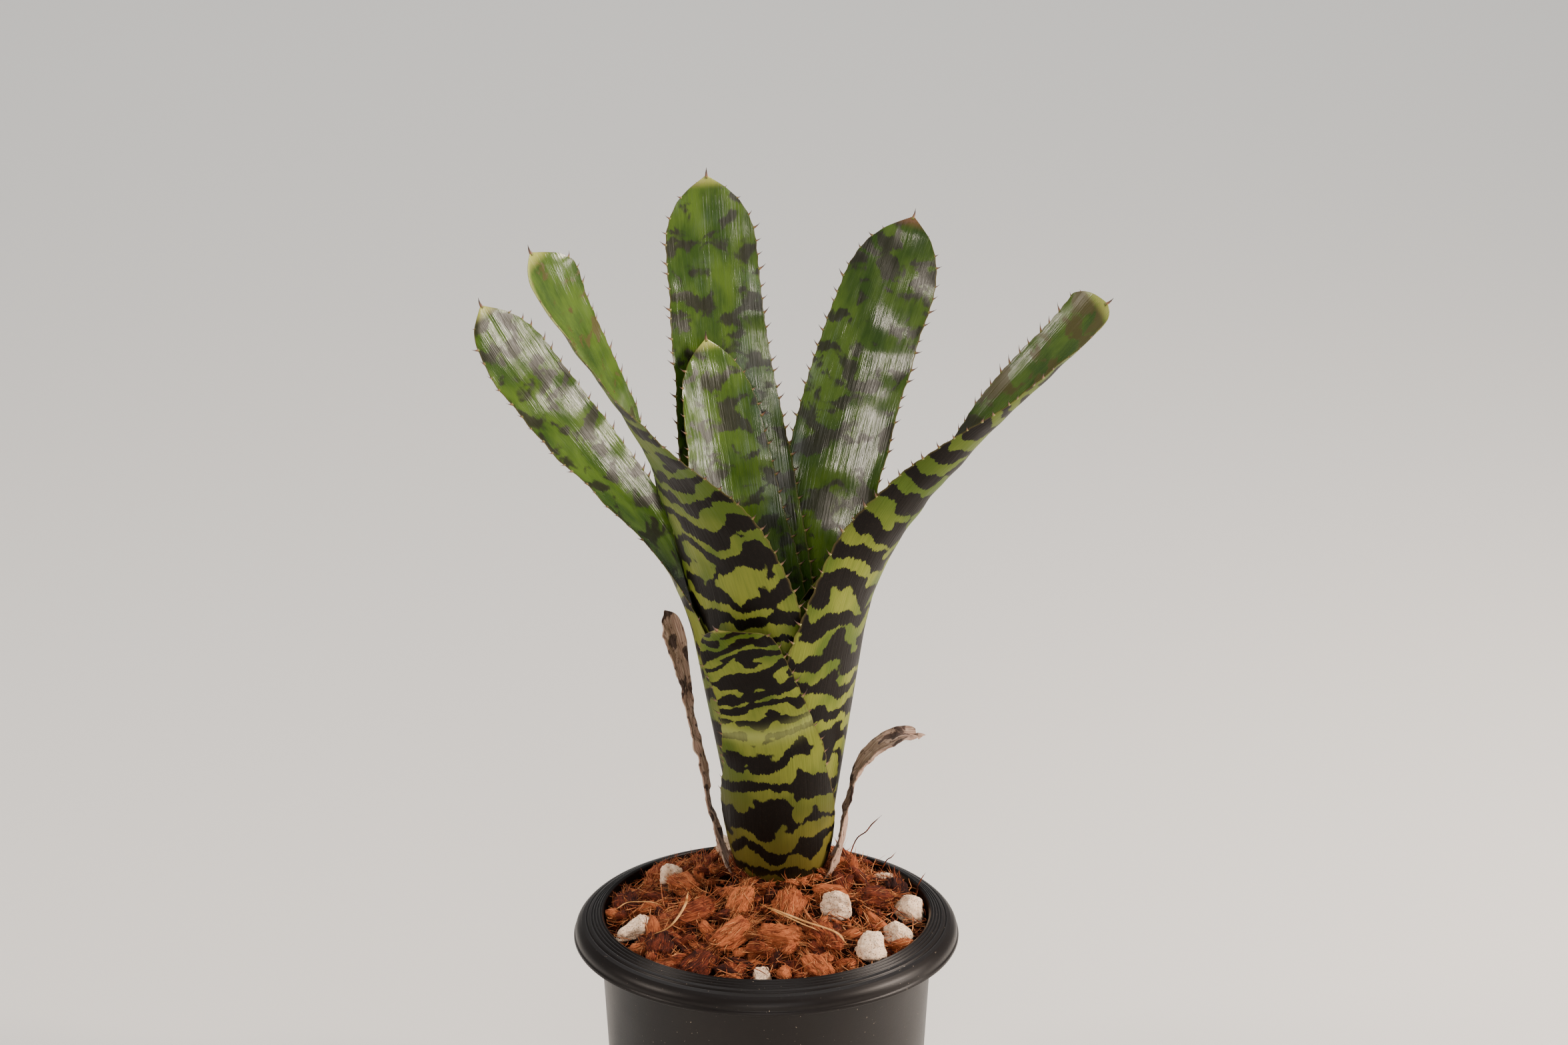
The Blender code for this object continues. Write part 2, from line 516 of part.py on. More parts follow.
def build_chip(name, size, finish, collection):
    azimuth, share, length, width, yaw = size
    bm = bmesh.new()
    bmesh.ops.create_cube(bm, size=1)
    bmesh.ops.bevel(bm, geom=bm.edges[:], offset=0.16, segments=1, affect="EDGES")
    seed = Vector((azimuth * 0.53, share * 7.0, width))
    half = Vector((length * MM, width * MM, CHIP_THICKNESS)) * piece_scale(azimuth)
    for v in bm.verts:
        worn = 1 + 0.2 * noise.noise(v.co * 2.1 + seed)
        taper = 1 - 0.25 * v.co.x
        v.co = Vector((v.co.x * half.x, v.co.y * half.y * taper, v.co.z * half.z)) * worn
    return lay_piece(name, bm, azimuth, share, yaw, finish, collection)


# ---- build ----

for old in list(bpy.data.objects):
    bpy.data.objects.remove(old)

parts = bpy.data.collections.new("potted_bromeliad")
cutters = bpy.data.collections.new("cutters")
bpy.context.scene.collection.children.link(parts)
bpy.context.scene.collection.children.link(cutters)

pot_black = material("pot_black", (0.03, 0.028, 0.029), 0.45)
husk_brown = material("husk_brown", (0.28, 0.10, 0.04), 0.95)
stem_brown = material("stem_brown", (0.22, 0.15, 0.08), 0.9)
leaf_green = material("leaf_green", (0.10, 0.22, 0.04), 0.35)
young_green = material("young_green", (0.08, 0.18, 0.04), 0.35)
dry_tan = material("dry_tan", (0.42, 0.30, 0.20), 0.85)
pumice_cream = material("pumice_cream", (0.62, 0.55, 0.45), 0.9)
chip_orange = material("chip_orange", (0.36, 0.14, 0.05), 0.95)

build_pot(pot_black, parts, cutters)
build_bed(husk_brown, parts)
build_stem(stem_brown, parts)
for layer, (name, spec) in enumerate(LEAVES.items()):
    build_leaf(name, spec, layer, *LEAF_GRID, leaf_green, parts)
for layer, (name, spec) in enumerate(YOUNG.items(), len(LEAVES)):
    build_leaf(name, spec, layer, *YOUNG_GRID, young_green, parts)
for name, spec in DRY.items():
    build_leaf(name, spec, DRY_LAYER, *DRY_GRID, dry_tan, parts)
for name, size in STONES.items():
    build_stone(name, size, pumice_cream, parts)
for name, size in CHIPS.items():
    build_chip(name, size, chip_orange, parts)
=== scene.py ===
import math

import bpy
import bmesh
import numpy as np
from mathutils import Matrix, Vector


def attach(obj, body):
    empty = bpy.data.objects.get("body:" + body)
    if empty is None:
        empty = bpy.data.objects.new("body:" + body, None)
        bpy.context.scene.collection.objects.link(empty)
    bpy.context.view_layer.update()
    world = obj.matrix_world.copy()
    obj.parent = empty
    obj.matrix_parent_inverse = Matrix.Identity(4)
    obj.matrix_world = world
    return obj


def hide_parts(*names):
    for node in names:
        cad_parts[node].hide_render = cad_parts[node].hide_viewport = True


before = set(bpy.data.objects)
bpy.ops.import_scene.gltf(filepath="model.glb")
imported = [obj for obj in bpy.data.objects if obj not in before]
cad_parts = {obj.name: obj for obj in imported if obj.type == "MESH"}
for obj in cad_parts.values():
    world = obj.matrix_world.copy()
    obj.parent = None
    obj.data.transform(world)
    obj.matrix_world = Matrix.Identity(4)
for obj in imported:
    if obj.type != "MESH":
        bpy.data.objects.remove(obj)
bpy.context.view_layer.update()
mm = 0.001
print("frame loaded")

# Potted bromeliad, finished around its fixed frame: metres, +Z up, the front is -Y.
# Leaf azimuths are in degrees from the front, turning towards +X.

potSize = dict(height=95 * mm, mouth=50.7 * mm, rimWidth=9.3 * mm, rimFall=3.2 * mm, lipDepth=8.2 * mm,
               wall=1.5 * mm, taper=0.055, floorLift=2.5 * mm, padRadius=12 * mm, footWidth=2.2 * mm,
               drainRadius=3.2 * mm, drainCount=8)
plantSize = dict(x=4.7 * mm, y=18 * mm, buttRadius=10 * mm, swell=4 * mm, swellHeight=5 * mm, flare=0.17,
                 tilt=-0.02, buttLift=2 * mm, thickness=0.8 * mm, pitch=1.4 * mm, stagger=1.3 * mm,
                 leastHalf=0.5 * mm)
bedSize = dict(atWall=-7.5 * mm, atPlant=2.5 * mm, fit=0.3 * mm)
plantAxis = np.array([plantSize["x"], plantSize["y"], 0.0])
up = np.array([0.0, 0.0, 1.0])


# curves and directions

def through(u, stops):
    # a smooth curve through stops (place, value), by cubic Hermite pieces
    x, y = np.array(stops, float).T
    slope = np.gradient(y, x)
    i = np.clip(np.searchsorted(x, u) - 1, 0, len(x) - 2)
    span = x[i + 1] - x[i]
    t = np.clip((u - x[i]) / span, 0, 1)
    return ((1 + 2 * t) * (1 - t) ** 2 * y[i] + t * (1 - t) ** 2 * span * slope[i]
            + t ** 2 * (3 - 2 * t) * y[i + 1] + t ** 2 * (t - 1) * span * slope[i + 1])


def ease(t):
    t = np.clip(t, 0, 1)
    return t * t * (3 - 2 * t)


def unit(v):
    return v / np.maximum(np.linalg.norm(v, axis=-1, keepdims=True), 1e-12)


def outward(azimuth):
    a = np.radians(azimuth)
    return np.stack([np.sin(a), -np.cos(a), np.zeros_like(a)], -1)


def sideways(azimuth):
    a = np.radians(azimuth)
    return np.stack([np.cos(a), np.sin(a), np.zeros_like(a)], -1)


def tilted(points):
    return points + plantSize["tilt"] * (points[..., 2:3] - potSize["height"]) * np.array([1.0, 0.0, 0.0])


def tubeRadius(height):
    h = height - plantSize["buttLift"]
    return (plantSize["buttRadius"] + plantSize["swell"] * (1 - np.exp(-h / plantSize["swellHeight"]))
            + plantSize["flare"] * h)


def hashed(cells, seed):
    # a fixed number from 0 to 1 for each whole-number cell, by mixing its three indices
    n = cells[..., 0] * 374761393 + cells[..., 1] * 668265263 + cells[..., 2] * 1274126177 + seed * 144269504
    n = (n ^ (n >> 13)) * 1103515245
    n = n ^ (n >> 16)
    return (n & 0xffffff) / 0xffffff


def softNoise(points, seed=0, octaves=1):
    # value noise from -1 to 1: the eight hashed corners of a unit cell joined by an S-curve
    total, size, weight = 0.0, 1.0, 0.0
    for octave in range(octaves):
        p = points * 2.03 ** octave
        cell = np.floor(p).astype(np.int64)
        f = p - cell
        f = f * f * (3 - 2 * f)
        layer = 0.0
        for corner in np.ndindex(2, 2, 2):
            c = np.array(corner)
            layer = layer + np.prod(np.where(c, f, 1 - f), axis=-1) * hashed(cell + c, seed + octave)
        total = total + size * (layer * 2 - 1)
        weight += size
        size *= 0.5
    return total / weight


def stacked(*columns):
    return np.stack(np.broadcast_arrays(*columns), -1)


# meshes

def pieceName(node, ending):
    # young_leaf_1 becomes youngLeaf1 with the ending after it
    first, *rest = node.split("_")
    return first + "".join(word.capitalize() for word in rest) + ending


def putPiece(name, parts, finishes, nodes=(), sharpAngle=None):
    # one mesh from parts, each a dict of points (n, 3), faces (some arrays), finish and marks (attributes)
    keys = sorted({key for part in parts for key in part.get("marks", {})})
    points = np.concatenate([part["points"] for part in parts])
    corners, starts, finishOf = [], [], []
    count = base = 0  # corners and points so far
    for part in parts:
        for faces in part["faces"]:
            starts.append(count + np.arange(len(faces)) * faces.shape[1])
            corners.append((faces + base).ravel())
            finishOf.append(np.broadcast_to(part.get("finish", 0), len(faces)))
            count += faces.size
        base += len(part["points"])
    mesh = bpy.data.meshes.new(name)
    mesh.vertices.add(len(points))
    mesh.vertices.foreach_set("co", points.astype(np.float32).ravel())
    mesh.loops.add(count)
    mesh.loops.foreach_set("vertex_index", np.concatenate(corners).astype(np.int32))
    starts = np.concatenate(starts).astype(np.int32)
    mesh.polygons.add(len(starts))
    mesh.polygons.foreach_set("loop_start", starts)
    mesh.polygons.foreach_set("material_index", np.concatenate(finishOf).astype(np.int32))
    mesh.update(calc_edges=True)
    mesh.validate()
    for key in keys:
        values = [part.get("marks", {}).get(key, np.zeros((len(part["points"]), 3))) for part in parts]
        values = np.concatenate([v.reshape(-1, 3) for v in values]).astype(np.float32)
        mesh.attributes.new(key, "FLOAT_VECTOR", "POINT").data.foreach_set("vector", values.ravel())
    mesh.shade_smooth()
    if sharpAngle:
        mesh.set_sharp_from_angle(angle=math.radians(sharpAngle))
    piece = bpy.data.objects.new(name, mesh)
    bpy.context.scene.collection.objects.link(piece)
    for finish in finishes:
        mesh.materials.append(finish)
    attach(piece, "root")
    if nodes:
        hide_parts(*nodes)
    return piece


def turned(part):
    # flips the faces if they enclose a negative volume, so that they point outwards
    volume = 0.0
    p = part["points"] - part["points"].mean(0)
    for faces in part["faces"]:
        for k in range(1, faces.shape[1] - 1):
            normals = np.cross(p[faces[:, k]], p[faces[:, k + 1]])
            volume += np.einsum("ij,ij->i", p[faces[:, 0]], normals).sum()
    if volume < 0:
        part["faces"] = [faces[:, ::-1] for faces in part["faces"]]
    return part


def closedGrid(rows, around):
    # quads between rings of points, and fans that shut both ends at the two points that follow the rings
    index = np.arange(rows * around).reshape(rows, around)
    after = np.roll(index, -1, axis=1)
    walls = np.stack([index[:-1], after[:-1], after[1:], index[1:]], -1).reshape(-1, 4)
    low = np.stack([after[0], index[0], np.full(around, index.size)], -1)
    high = np.stack([index[-1], after[-1], np.full(around, index.size + 1)], -1)
    return walls, np.concatenate([low, high])


def tubes(paths, radii, sides, reference, flat=1.0):
    # closed tubes: circles (squashed by "flat" along the second axis) along each path, a point at each end
    count, steps = paths.shape[:2]
    ahead = unit(np.gradient(paths, axis=1))
    first = unit(np.cross(ahead, reference[:, None]))
    second = np.cross(ahead, first)
    turn = np.arange(sides) * 2 * math.pi / sides
    ring = (paths[:, :, None] + radii[..., None, None] * (np.cos(turn)[:, None] * first[:, :, None]
            + flat * np.sin(turn)[:, None] * second[:, :, None]))
    per = steps * sides + 2
    points = np.concatenate([ring.reshape(count, -1, 3), paths[:, :1], paths[:, -1:]], axis=1)
    walls, caps = closedGrid(steps, sides)
    shift = (np.arange(count) * per)[:, None, None]
    faces = [(walls + shift).reshape(-1, 4), (caps + shift).reshape(-1, 3)]
    share = np.concatenate([np.repeat(np.linspace(0, 1, steps), sides), [0, 1]])
    return points.reshape(-1, 3), faces, np.tile(share, count), np.repeat(np.arange(count), per)


def ballDirections(rows, around):
    # directions on a sphere, rows of latitude and then the two poles, with the quads and fans that close it
    lat = np.linspace(-math.pi / 2, math.pi / 2, rows + 2)[1:-1]
    lon = np.arange(around) * 2 * math.pi / around
    lat = lat[:, None]
    grid = stacked(np.cos(lat) * np.cos(lon), np.cos(lat) * np.sin(lon), np.sin(lat))
    return np.concatenate([grid.reshape(-1, 3), [[0, 0, -1.0]], [[0, 0, 1.0]]]), closedGrid(rows, around)


# shader maths: a wire is one output socket, and arithmetic on wires adds Math nodes

class Wire:
    def __init__(self, finish, socket):
        self.finish, self.socket = finish, socket

    def math(self, operation, *values):
        return self.finish.node("ShaderNodeMath", dict(operation=operation), dict(enumerate(values)))

    def __add__(self, other): return self.math("ADD", self, other)
    def __radd__(self, other): return self.math("ADD", other, self)
    def __sub__(self, other): return self.math("SUBTRACT", self, other)
    def __rsub__(self, other): return self.math("SUBTRACT", other, self)
    def __mul__(self, other): return self.math("MULTIPLY", self, other)
    def __rmul__(self, other): return self.math("MULTIPLY", other, self)
    def __truediv__(self, other): return self.math("DIVIDE", self, other)
    def __rtruediv__(self, other): return self.math("DIVIDE", other, self)
    def __pow__(self, other): return self.math("POWER", self, other)
    def sine(self): return self.math("SINE", self)
    def size(self): return self.math("ABSOLUTE", self)
    def most(self, other): return self.math("MAXIMUM", self, other)

    def rise(self, low, high):
        # an S-curve from 0 at low to 1 at high; low above high makes it fall
        inputs = {0: self, 1: min(low, high), 2: max(low, high)}
        curve = self.finish.node("ShaderNodeMapRange", dict(interpolation_type="SMOOTHSTEP"), inputs)
        return 1 - curve if low > high else curve


class Finish:
    def __init__(self, name, roughness=0.5, **constants):
        self.material = bpy.data.materials.new(name)
        self.material.use_nodes = True
        self.tree = self.material.node_tree
        self.shader = self.tree.nodes["Principled BSDF"]
        self.set(Roughness=roughness, **constants)

    def put(self, socket, value):
        if isinstance(value, Wire):
            self.tree.links.new(value.socket, socket)
        else:
            socket.default_value = value

    def set(self, **values):
        # Base_Color=... sets or links the shader's own socket of that name
        for key, value in values.items():
            self.put(self.shader.inputs[key.replace("_", " ")], value)

    def node(self, kind, settings=None, inputs=None, output=0):
        made = self.tree.nodes.new(kind)
        for key, value in (settings or {}).items():
            if key == "stops":
                ramp = made.color_ramp
                while len(ramp.elements) < len(value):
                    ramp.elements.new(0.5)
                for element, (place, colour) in zip(ramp.elements, value):
                    element.position, element.color = place, colour
            else:
                setattr(made, key, value)
        for key, value in (inputs or {}).items():
            self.put(made.inputs[key], value)
        return Wire(self, made.outputs[output])

    def axes(self, vector):
        split = self.node("ShaderNodeSeparateXYZ", None, {0: vector}).socket.node
        return [Wire(self, socket) for socket in split.outputs]

    def mark(self, name):
        # the three numbers of a mesh attribute, as wires
        return self.axes(self.node("ShaderNodeAttribute", dict(attribute_name=name), output="Vector"))

    def place(self):
        # object coordinates in millimetres, as wires
        return [axis * 1000 for axis in self.axes(self.node("ShaderNodeTexCoord", output="Object"))]

    def noise(self, x, y, z, detail=2.0, rough=0.5, warp=0.0):
        # callers pass millimetres times waves per millimetre on each axis
        vector = self.node("ShaderNodeCombineXYZ", None, {0: x, 1: y, 2: z})
        return self.node("ShaderNodeTexNoise", None, {"Vector": vector, "Scale": 1.0, "Detail": detail,
                                                      "Roughness": rough, "Distortion": warp})

    def cells(self, x, y, z):
        vector = self.node("ShaderNodeCombineXYZ", None, {0: x, 1: y, 2: z})
        return self.node("ShaderNodeTexVoronoi", None, {"Vector": vector, "Scale": 1.0})

    def mix(self, share, first, second):
        # each colour is a wire or a screen colour; the node has them at 6 and 7, and the mix at output 2
        first, second = (c if isinstance(c, Wire) else paint(*c) for c in (first, second))
        settings = dict(data_type="RGBA", clamp_factor=True)
        return self.node("ShaderNodeMix", settings, {0: share, 6: first, 7: second}, 2)

    def ramp(self, share, *stops):
        stops = [(place, paint(*colour)) for place, colour in stops]
        return self.node("ShaderNodeValToRGB", dict(stops=stops), {0: share})

    def bump(self, height, strength, distance):
        return self.node("ShaderNodeBump", None, dict(Strength=strength, Distance=distance, Height=height))


def paint(red, green, blue):
    # a screen colour, each part 0 to 255, as the linear colour that shaders use
    parts = [part / 255 for part in (red, green, blue)]
    return (*[c / 12.92 if c <= 0.04045 else ((c + 0.055) / 1.055) ** 2.4 for c in parts], 1.0)


# finishes

# foot is the brown of the leaves' feet, and is also laid over the lower tube as painted shade
leafColours = dict(paleBand=(117, 124, 48), greenBand=(74, 90, 28), bladeGreen=(66, 86, 22),
                   foot=(84, 68, 27), darkBand=(14, 10, 7), scale=(39, 31, 20), innerGreen=(44, 68, 19),
                   innerLight=(76, 100, 32), blotch=(30, 26, 18), mild=(72, 64, 26), tip=(164, 168, 84),
                   brownTip=(116, 72, 56), margin=(86, 76, 40), paleEdgeAndHighlight=(168, 175, 104))
leafLook = dict(bandPeriod=10.4, bandWander=26, bandEdge=(0.415, 0.445), blotchPeriod=19, blotchWander=40,
                blotchEdge=(0.50, 0.60), bladeFrom=(96, 150), shadeBelow=(64.0, 6.0), baseBelow=(15.0, 3.0),
                marginFrom=(0.965, 1.0), roughOuter=0.48, roughInner=0.19, lineDepth=0.00020)


def leafFinish(name, gloss):
    # leafPlace is (across, along, seed), leafShare (across from -1 to 1, distance to the tip, 1 on the inner
    # face), leafTone (share of brown in the tip, length of the pale tip, darkness of the bands, raised on
    # leaves in shade as painted shade) and leafEdge (share of a pale margin and of a painted highlight band
    # across one leaf's collar, how mild the blotches are, how much duller the inner face is)
    tint, look = leafColours, leafLook
    finish = Finish(name, Specular_IOR_Level=gloss)
    x, y, seed = finish.mark("leafPlace")
    across, toTip, inner = finish.mark("leafShare")
    brown, paleTip, dusky = finish.mark("leafTone")
    bleachAndHighlight, mild, dull = finish.mark("leafEdge")
    # lengthwise streaks, and distances along the leaf that waver so that bands have ragged edges
    fine = finish.noise(x * 2.6, y * 1.8, seed, 2.0, 0.7)
    streak = finish.noise(x * 1.4, y * 0.11, seed, 3.0, 0.6)
    ragged = y + (fine - 0.5) * 1.5 + (streak - 0.5) * 2.4
    warp = finish.noise(x * 0.075, ragged * 0.055, seed + 3, 1.0)
    # the outer face: dark bands where a sine and a noise together are high, pale green between them
    band = ((ragged + (warp - 0.5) * look["bandWander"]) * (2 * math.pi / look["bandPeriod"])).sine()
    blob = finish.noise(x * 0.15, ragged * 0.17, seed + 9, 1.5, 0.5, 0.3)
    # dusky shifts where the dark bands begin; where it is raised on leaves in shade, it is painted shade
    dark = (band * 0.15 + blob * 0.85 + dusky).rise(*look["bandEdge"])
    pale = finish.mix(finish.noise(x * 0.06, y * 0.04, seed + 5, 2.0).rise(0.40, 0.62),
                      tint["paleBand"], tint["greenBand"])
    pale = finish.mix(streak.rise(0.4, 0.75) * 0.35, pale, tint["greenBand"])
    pale = finish.mix(y.rise(*look["bladeFrom"]) * 0.7, pale, tint["bladeGreen"])
    # painted shade: below 64 mm along each leaf the pale bands turn towards the foot colour, most of the way
    # near the foot
    pale = finish.mix(y.rise(*look["shadeBelow"]) * 0.85, pale, tint["foot"])
    dusk = finish.mix(fine.rise(0.52, 0.76) * 0.45, tint["darkBand"], tint["scale"])
    outer = finish.mix(dark, pale, dusk)
    outer = finish.mix(y.rise(*look["baseBelow"]) * 0.6, outer, tint["foot"])
    # the inner face: two greens, with soft blotches in loose groups
    inGreen = finish.mix(finish.noise(x * 0.11, y * 0.05, seed + 14, 3.0, 0.6).rise(0.35, 0.68),
                         tint["innerGreen"], tint["innerLight"])
    patch = finish.noise(x * 0.13, ragged * 0.17, seed + 27, 2.5, 0.55, 0.5)
    group = ((ragged + (warp - 0.5) * look["blotchWander"]) * (2 * math.pi / look["blotchPeriod"])).sine()
    murk = (group * 0.07 + patch + dusky).rise(*look["blotchEdge"]) * 0.9
    inside = finish.mix(streak.rise(0.45, 0.8) * 0.3, inGreen, tint["innerLight"])
    inside = finish.mix(murk, inside, finish.mix(mild, tint["blotch"], tint["mild"]))
    colour = finish.mix(inner, outer, inside)
    # the tip, the thin margin, pale bleaching at one margin and a painted highlight band across the collar
    colour = finish.mix((toTip / paleTip).rise(1.0, 0.15) * 0.9, colour,
                        finish.mix(brown, tint["tip"], tint["brownTip"]))
    colour = finish.mix(across.size().rise(*look["marginFrom"]) * 0.6, colour, tint["margin"])
    # paleEdgeAndHighlight is the colour of a bleached margin, and also of a painted highlight band across one
    # leaf's collar
    colour = finish.mix(bleachAndHighlight * (streak * 0.5 + 0.6), colour, tint["paleEdgeAndHighlight"])
    lines = finish.noise(x * 1.9, y * 0.03, seed + 40, 2.0, 0.6)
    rough = look["roughOuter"] + inner * (look["roughInner"] - look["roughOuter"] + murk * 0.16 + dull)
    finish.set(Base_Color=colour, Roughness=rough + (streak - 0.5) * 0.36,
               Normal=finish.bump(lines * 0.8 + streak * 0.5 + fine * 0.10, 0.7, look["lineDepth"]))
    return finish.material


spineTints = ((0.0, (112, 126, 56)), (0.25, (120, 84, 56)), (0.6, (62, 38, 28)), (1.0, (34, 24, 20)))


def spineFinish():
    # spineShare's first number runs from 0 at the foot to 1 at the point
    finish = Finish("spineHorn", 0.45)
    share = finish.mark("spineShare")[0]
    x, y, z = finish.place()
    grain = finish.noise(x * 3, y * 3, z * 3, 2.0)
    colour = finish.ramp(share + (grain - 0.5) * 0.3, *spineTints)
    finish.set(Base_Color=colour, Normal=finish.bump(grain, 0.3, 0.0001))
    return finish.material


dryTints = dict(fibre=((0.25, (112, 86, 74)), (0.5, (168, 138, 120)), (0.8, (208, 184, 162))),
                patch=(52, 38, 38), speck=(46, 33, 31))


def dryFinish():
    # pale fibres along the leaf, dark patches and specks
    finish = Finish("dryLeaf", 0.82, Specular_IOR_Level=0.25)
    x, y, seed = finish.mark("leafPlace")
    fibre = finish.noise(x * 2.6, y * 0.16, seed, 3.0, 0.6)
    patch = finish.noise(x * 0.22, y * 0.15, seed + 8, 3.0, 0.6, 0.4)
    speck = finish.noise(x * 0.9, y * 0.7, seed + 15, 2.0)
    colour = finish.ramp(fibre, *dryTints["fibre"])
    colour = finish.mix(patch.rise(0.54, 0.60) * 0.85, colour, dryTints["patch"])
    colour = finish.mix(speck.rise(0.62, 0.68) * 0.6, colour, dryTints["speck"])
    finish.set(Base_Color=colour, Normal=finish.bump(fibre + patch * 0.4, 0.8, 0.0004))
    return finish.material


huskTints = dict(huskChip=((0.22, (34, 10, 6)), (0.5, (108, 46, 26)), (0.78, (184, 104, 62))),
                 huskFibre=((0.22, (66, 26, 14)), (0.5, (148, 76, 42)), (0.78, (206, 142, 92))),
                 strawStrand=((0.22, (136, 88, 46)), (0.5, (192, 140, 84)), (0.78, (220, 182, 128))))


def huskFinish(name):
    # huskPlace is millimetres along and across the fibres, huskTone (dark 0 to light 1, seed, not used)
    finish = Finish(name, 0.92, Specular_IOR_Level=0.2)
    x, y, z = finish.mark("huskPlace")
    tone, seed, _ = finish.mark("huskTone")
    fibre = finish.noise(x * 0.22, y * 2.6, z * 2.6 + seed, 4.0, 0.65)
    broad = finish.noise(x * 0.25, y * 0.35, z * 0.35 + seed, 2.0)
    colour = finish.ramp(fibre * 0.85 + broad * 0.55 + tone * 0.55 - 0.48, *huskTints[name])
    finish.set(Base_Color=colour, Normal=finish.bump(fibre, 0.9, 0.0006))
    return finish.material


# hollow is painted shade for the pits
stoneTints = dict(grain=((0.25, (204, 166, 134)), (0.5, (246, 214, 182)), (0.75, (254, 236, 212))),
                  stain=(176, 134, 98), hollow=(118, 96, 78))


def stoneFinish():
    # pale grain stained in places, with two sizes of pits
    finish = Finish("pumiceStone", 0.9, Specular_IOR_Level=0.25)
    x, y, z = finish.place()
    pits = finish.cells(x * 1.3, y * 1.3, z * 1.3)
    smallPits = finish.cells(x * 3.4, y * 3.4, z * 3.4)
    grain = finish.noise(x * 1.6, y * 1.6, z * 1.6, 4.0, 0.65)
    stain = finish.noise(x * 0.28, y * 0.28, z * 0.28, 2.0)
    hollow = pits.rise(0.32, 0.08).most(smallPits.rise(0.3, 0.1) * 0.6)
    colour = finish.ramp(grain, *stoneTints["grain"])
    colour = finish.mix(stain.rise(0.54, 0.72) * 0.55, colour, stoneTints["stain"])
    # painted shade: the pits are painted darker, for the shade inside them
    colour = finish.mix(hollow * 0.7, colour, stoneTints["hollow"])
    finish.set(Base_Color=colour, Normal=finish.bump(grain * 0.5 - hollow, 0.8, 0.0005))
    return finish.material


potTints = dict(dark=(15, 11, 10), light=(21, 16, 15), dust=(176, 160, 140), scuff=(74, 68, 64))


def potFinish():
    # dark moulded plastic with fine turned lines, faint scuffs and specks of dust
    finish = Finish("potPlastic", 0.42, Specular_IOR_Level=0.22)
    x, y, z = finish.place()
    radius = (x * x + y * y) ** 0.5
    cloud = finish.noise(x * 0.05, y * 0.05, z * 0.05, 3.0)
    turned = finish.noise(radius * 5.0, z * 5.0, 0.0, 2.0)
    dust = finish.noise(x * 1.4, y * 1.4, z * 1.4, 2.0, 0.6)
    scuff = finish.noise(x * 0.5, y * 0.5, z * 1.6, 4.0, 0.7)
    colour = finish.mix(cloud, potTints["dark"], potTints["light"])
    colour = finish.mix(dust.rise(0.735, 0.76) * 0.8, colour, potTints["dust"])
    colour = finish.mix(scuff.rise(0.66, 0.74) * 0.25, colour, potTints["scuff"])
    finish.set(Base_Color=colour, Roughness=0.30 + cloud * 0.12 + dust * 0.06,
               Normal=finish.bump(turned * 0.4 + dust * 0.35, 0.35, 0.00008))
    return finish.material


# the bed is dark brown husk dust, kept darker as painted shade for the gaps between the chips
bedTints = ((0.25, (22, 11, 8)), (0.55, (58, 28, 17)), (0.8, (104, 54, 30)))
stemTints = ((0.3, (96, 74, 48)), (0.7, (146, 118, 80)))


def bedFinish():
    finish = Finish("huskDustAndShade", 0.97, Specular_IOR_Level=0.15)
    x, y, z = finish.place()
    crumb = finish.noise(x * 1.1, y * 1.1, z * 1.1, 4.0, 0.7)
    broad = finish.noise(x * 0.16, y * 0.16, z * 0.16, 2.0)
    colour = finish.ramp(crumb * 0.8 + broad * 0.3 - 0.05, *bedTints)
    finish.set(Base_Color=colour, Normal=finish.bump(crumb, 0.9, 0.0009))
    return finish.material


def stemFinish():
    finish = Finish("stemTissue", 0.85)
    x, y, z = finish.place()
    grain = finish.noise(x * 1.5, y * 1.5, z * 0.3, 3.0)
    finish.set(Base_Color=finish.ramp(grain, *stemTints), Normal=finish.bump(grain, 0.6, 0.0003))
    return finish.material


leafBack = leafFinish("leafBack", 0.12)
leafFace = leafFinish("leafFace", 0.46)
leafSatin = leafFinish("leafSatin", 0.22)
spineHorn = spineFinish()
drySkin = dryFinish()
huskSkin, fibreSkin, strawSkin = (huskFinish(name) for name in ("huskChip", "huskFibre", "strawStrand"))
pumice = stoneFinish()
potPlastic = potFinish()
huskDustAndShade = bedFinish()
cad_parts["stem"].data.materials.clear()
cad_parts["stem"].data.materials.append(stemFinish())
print("finishes made")
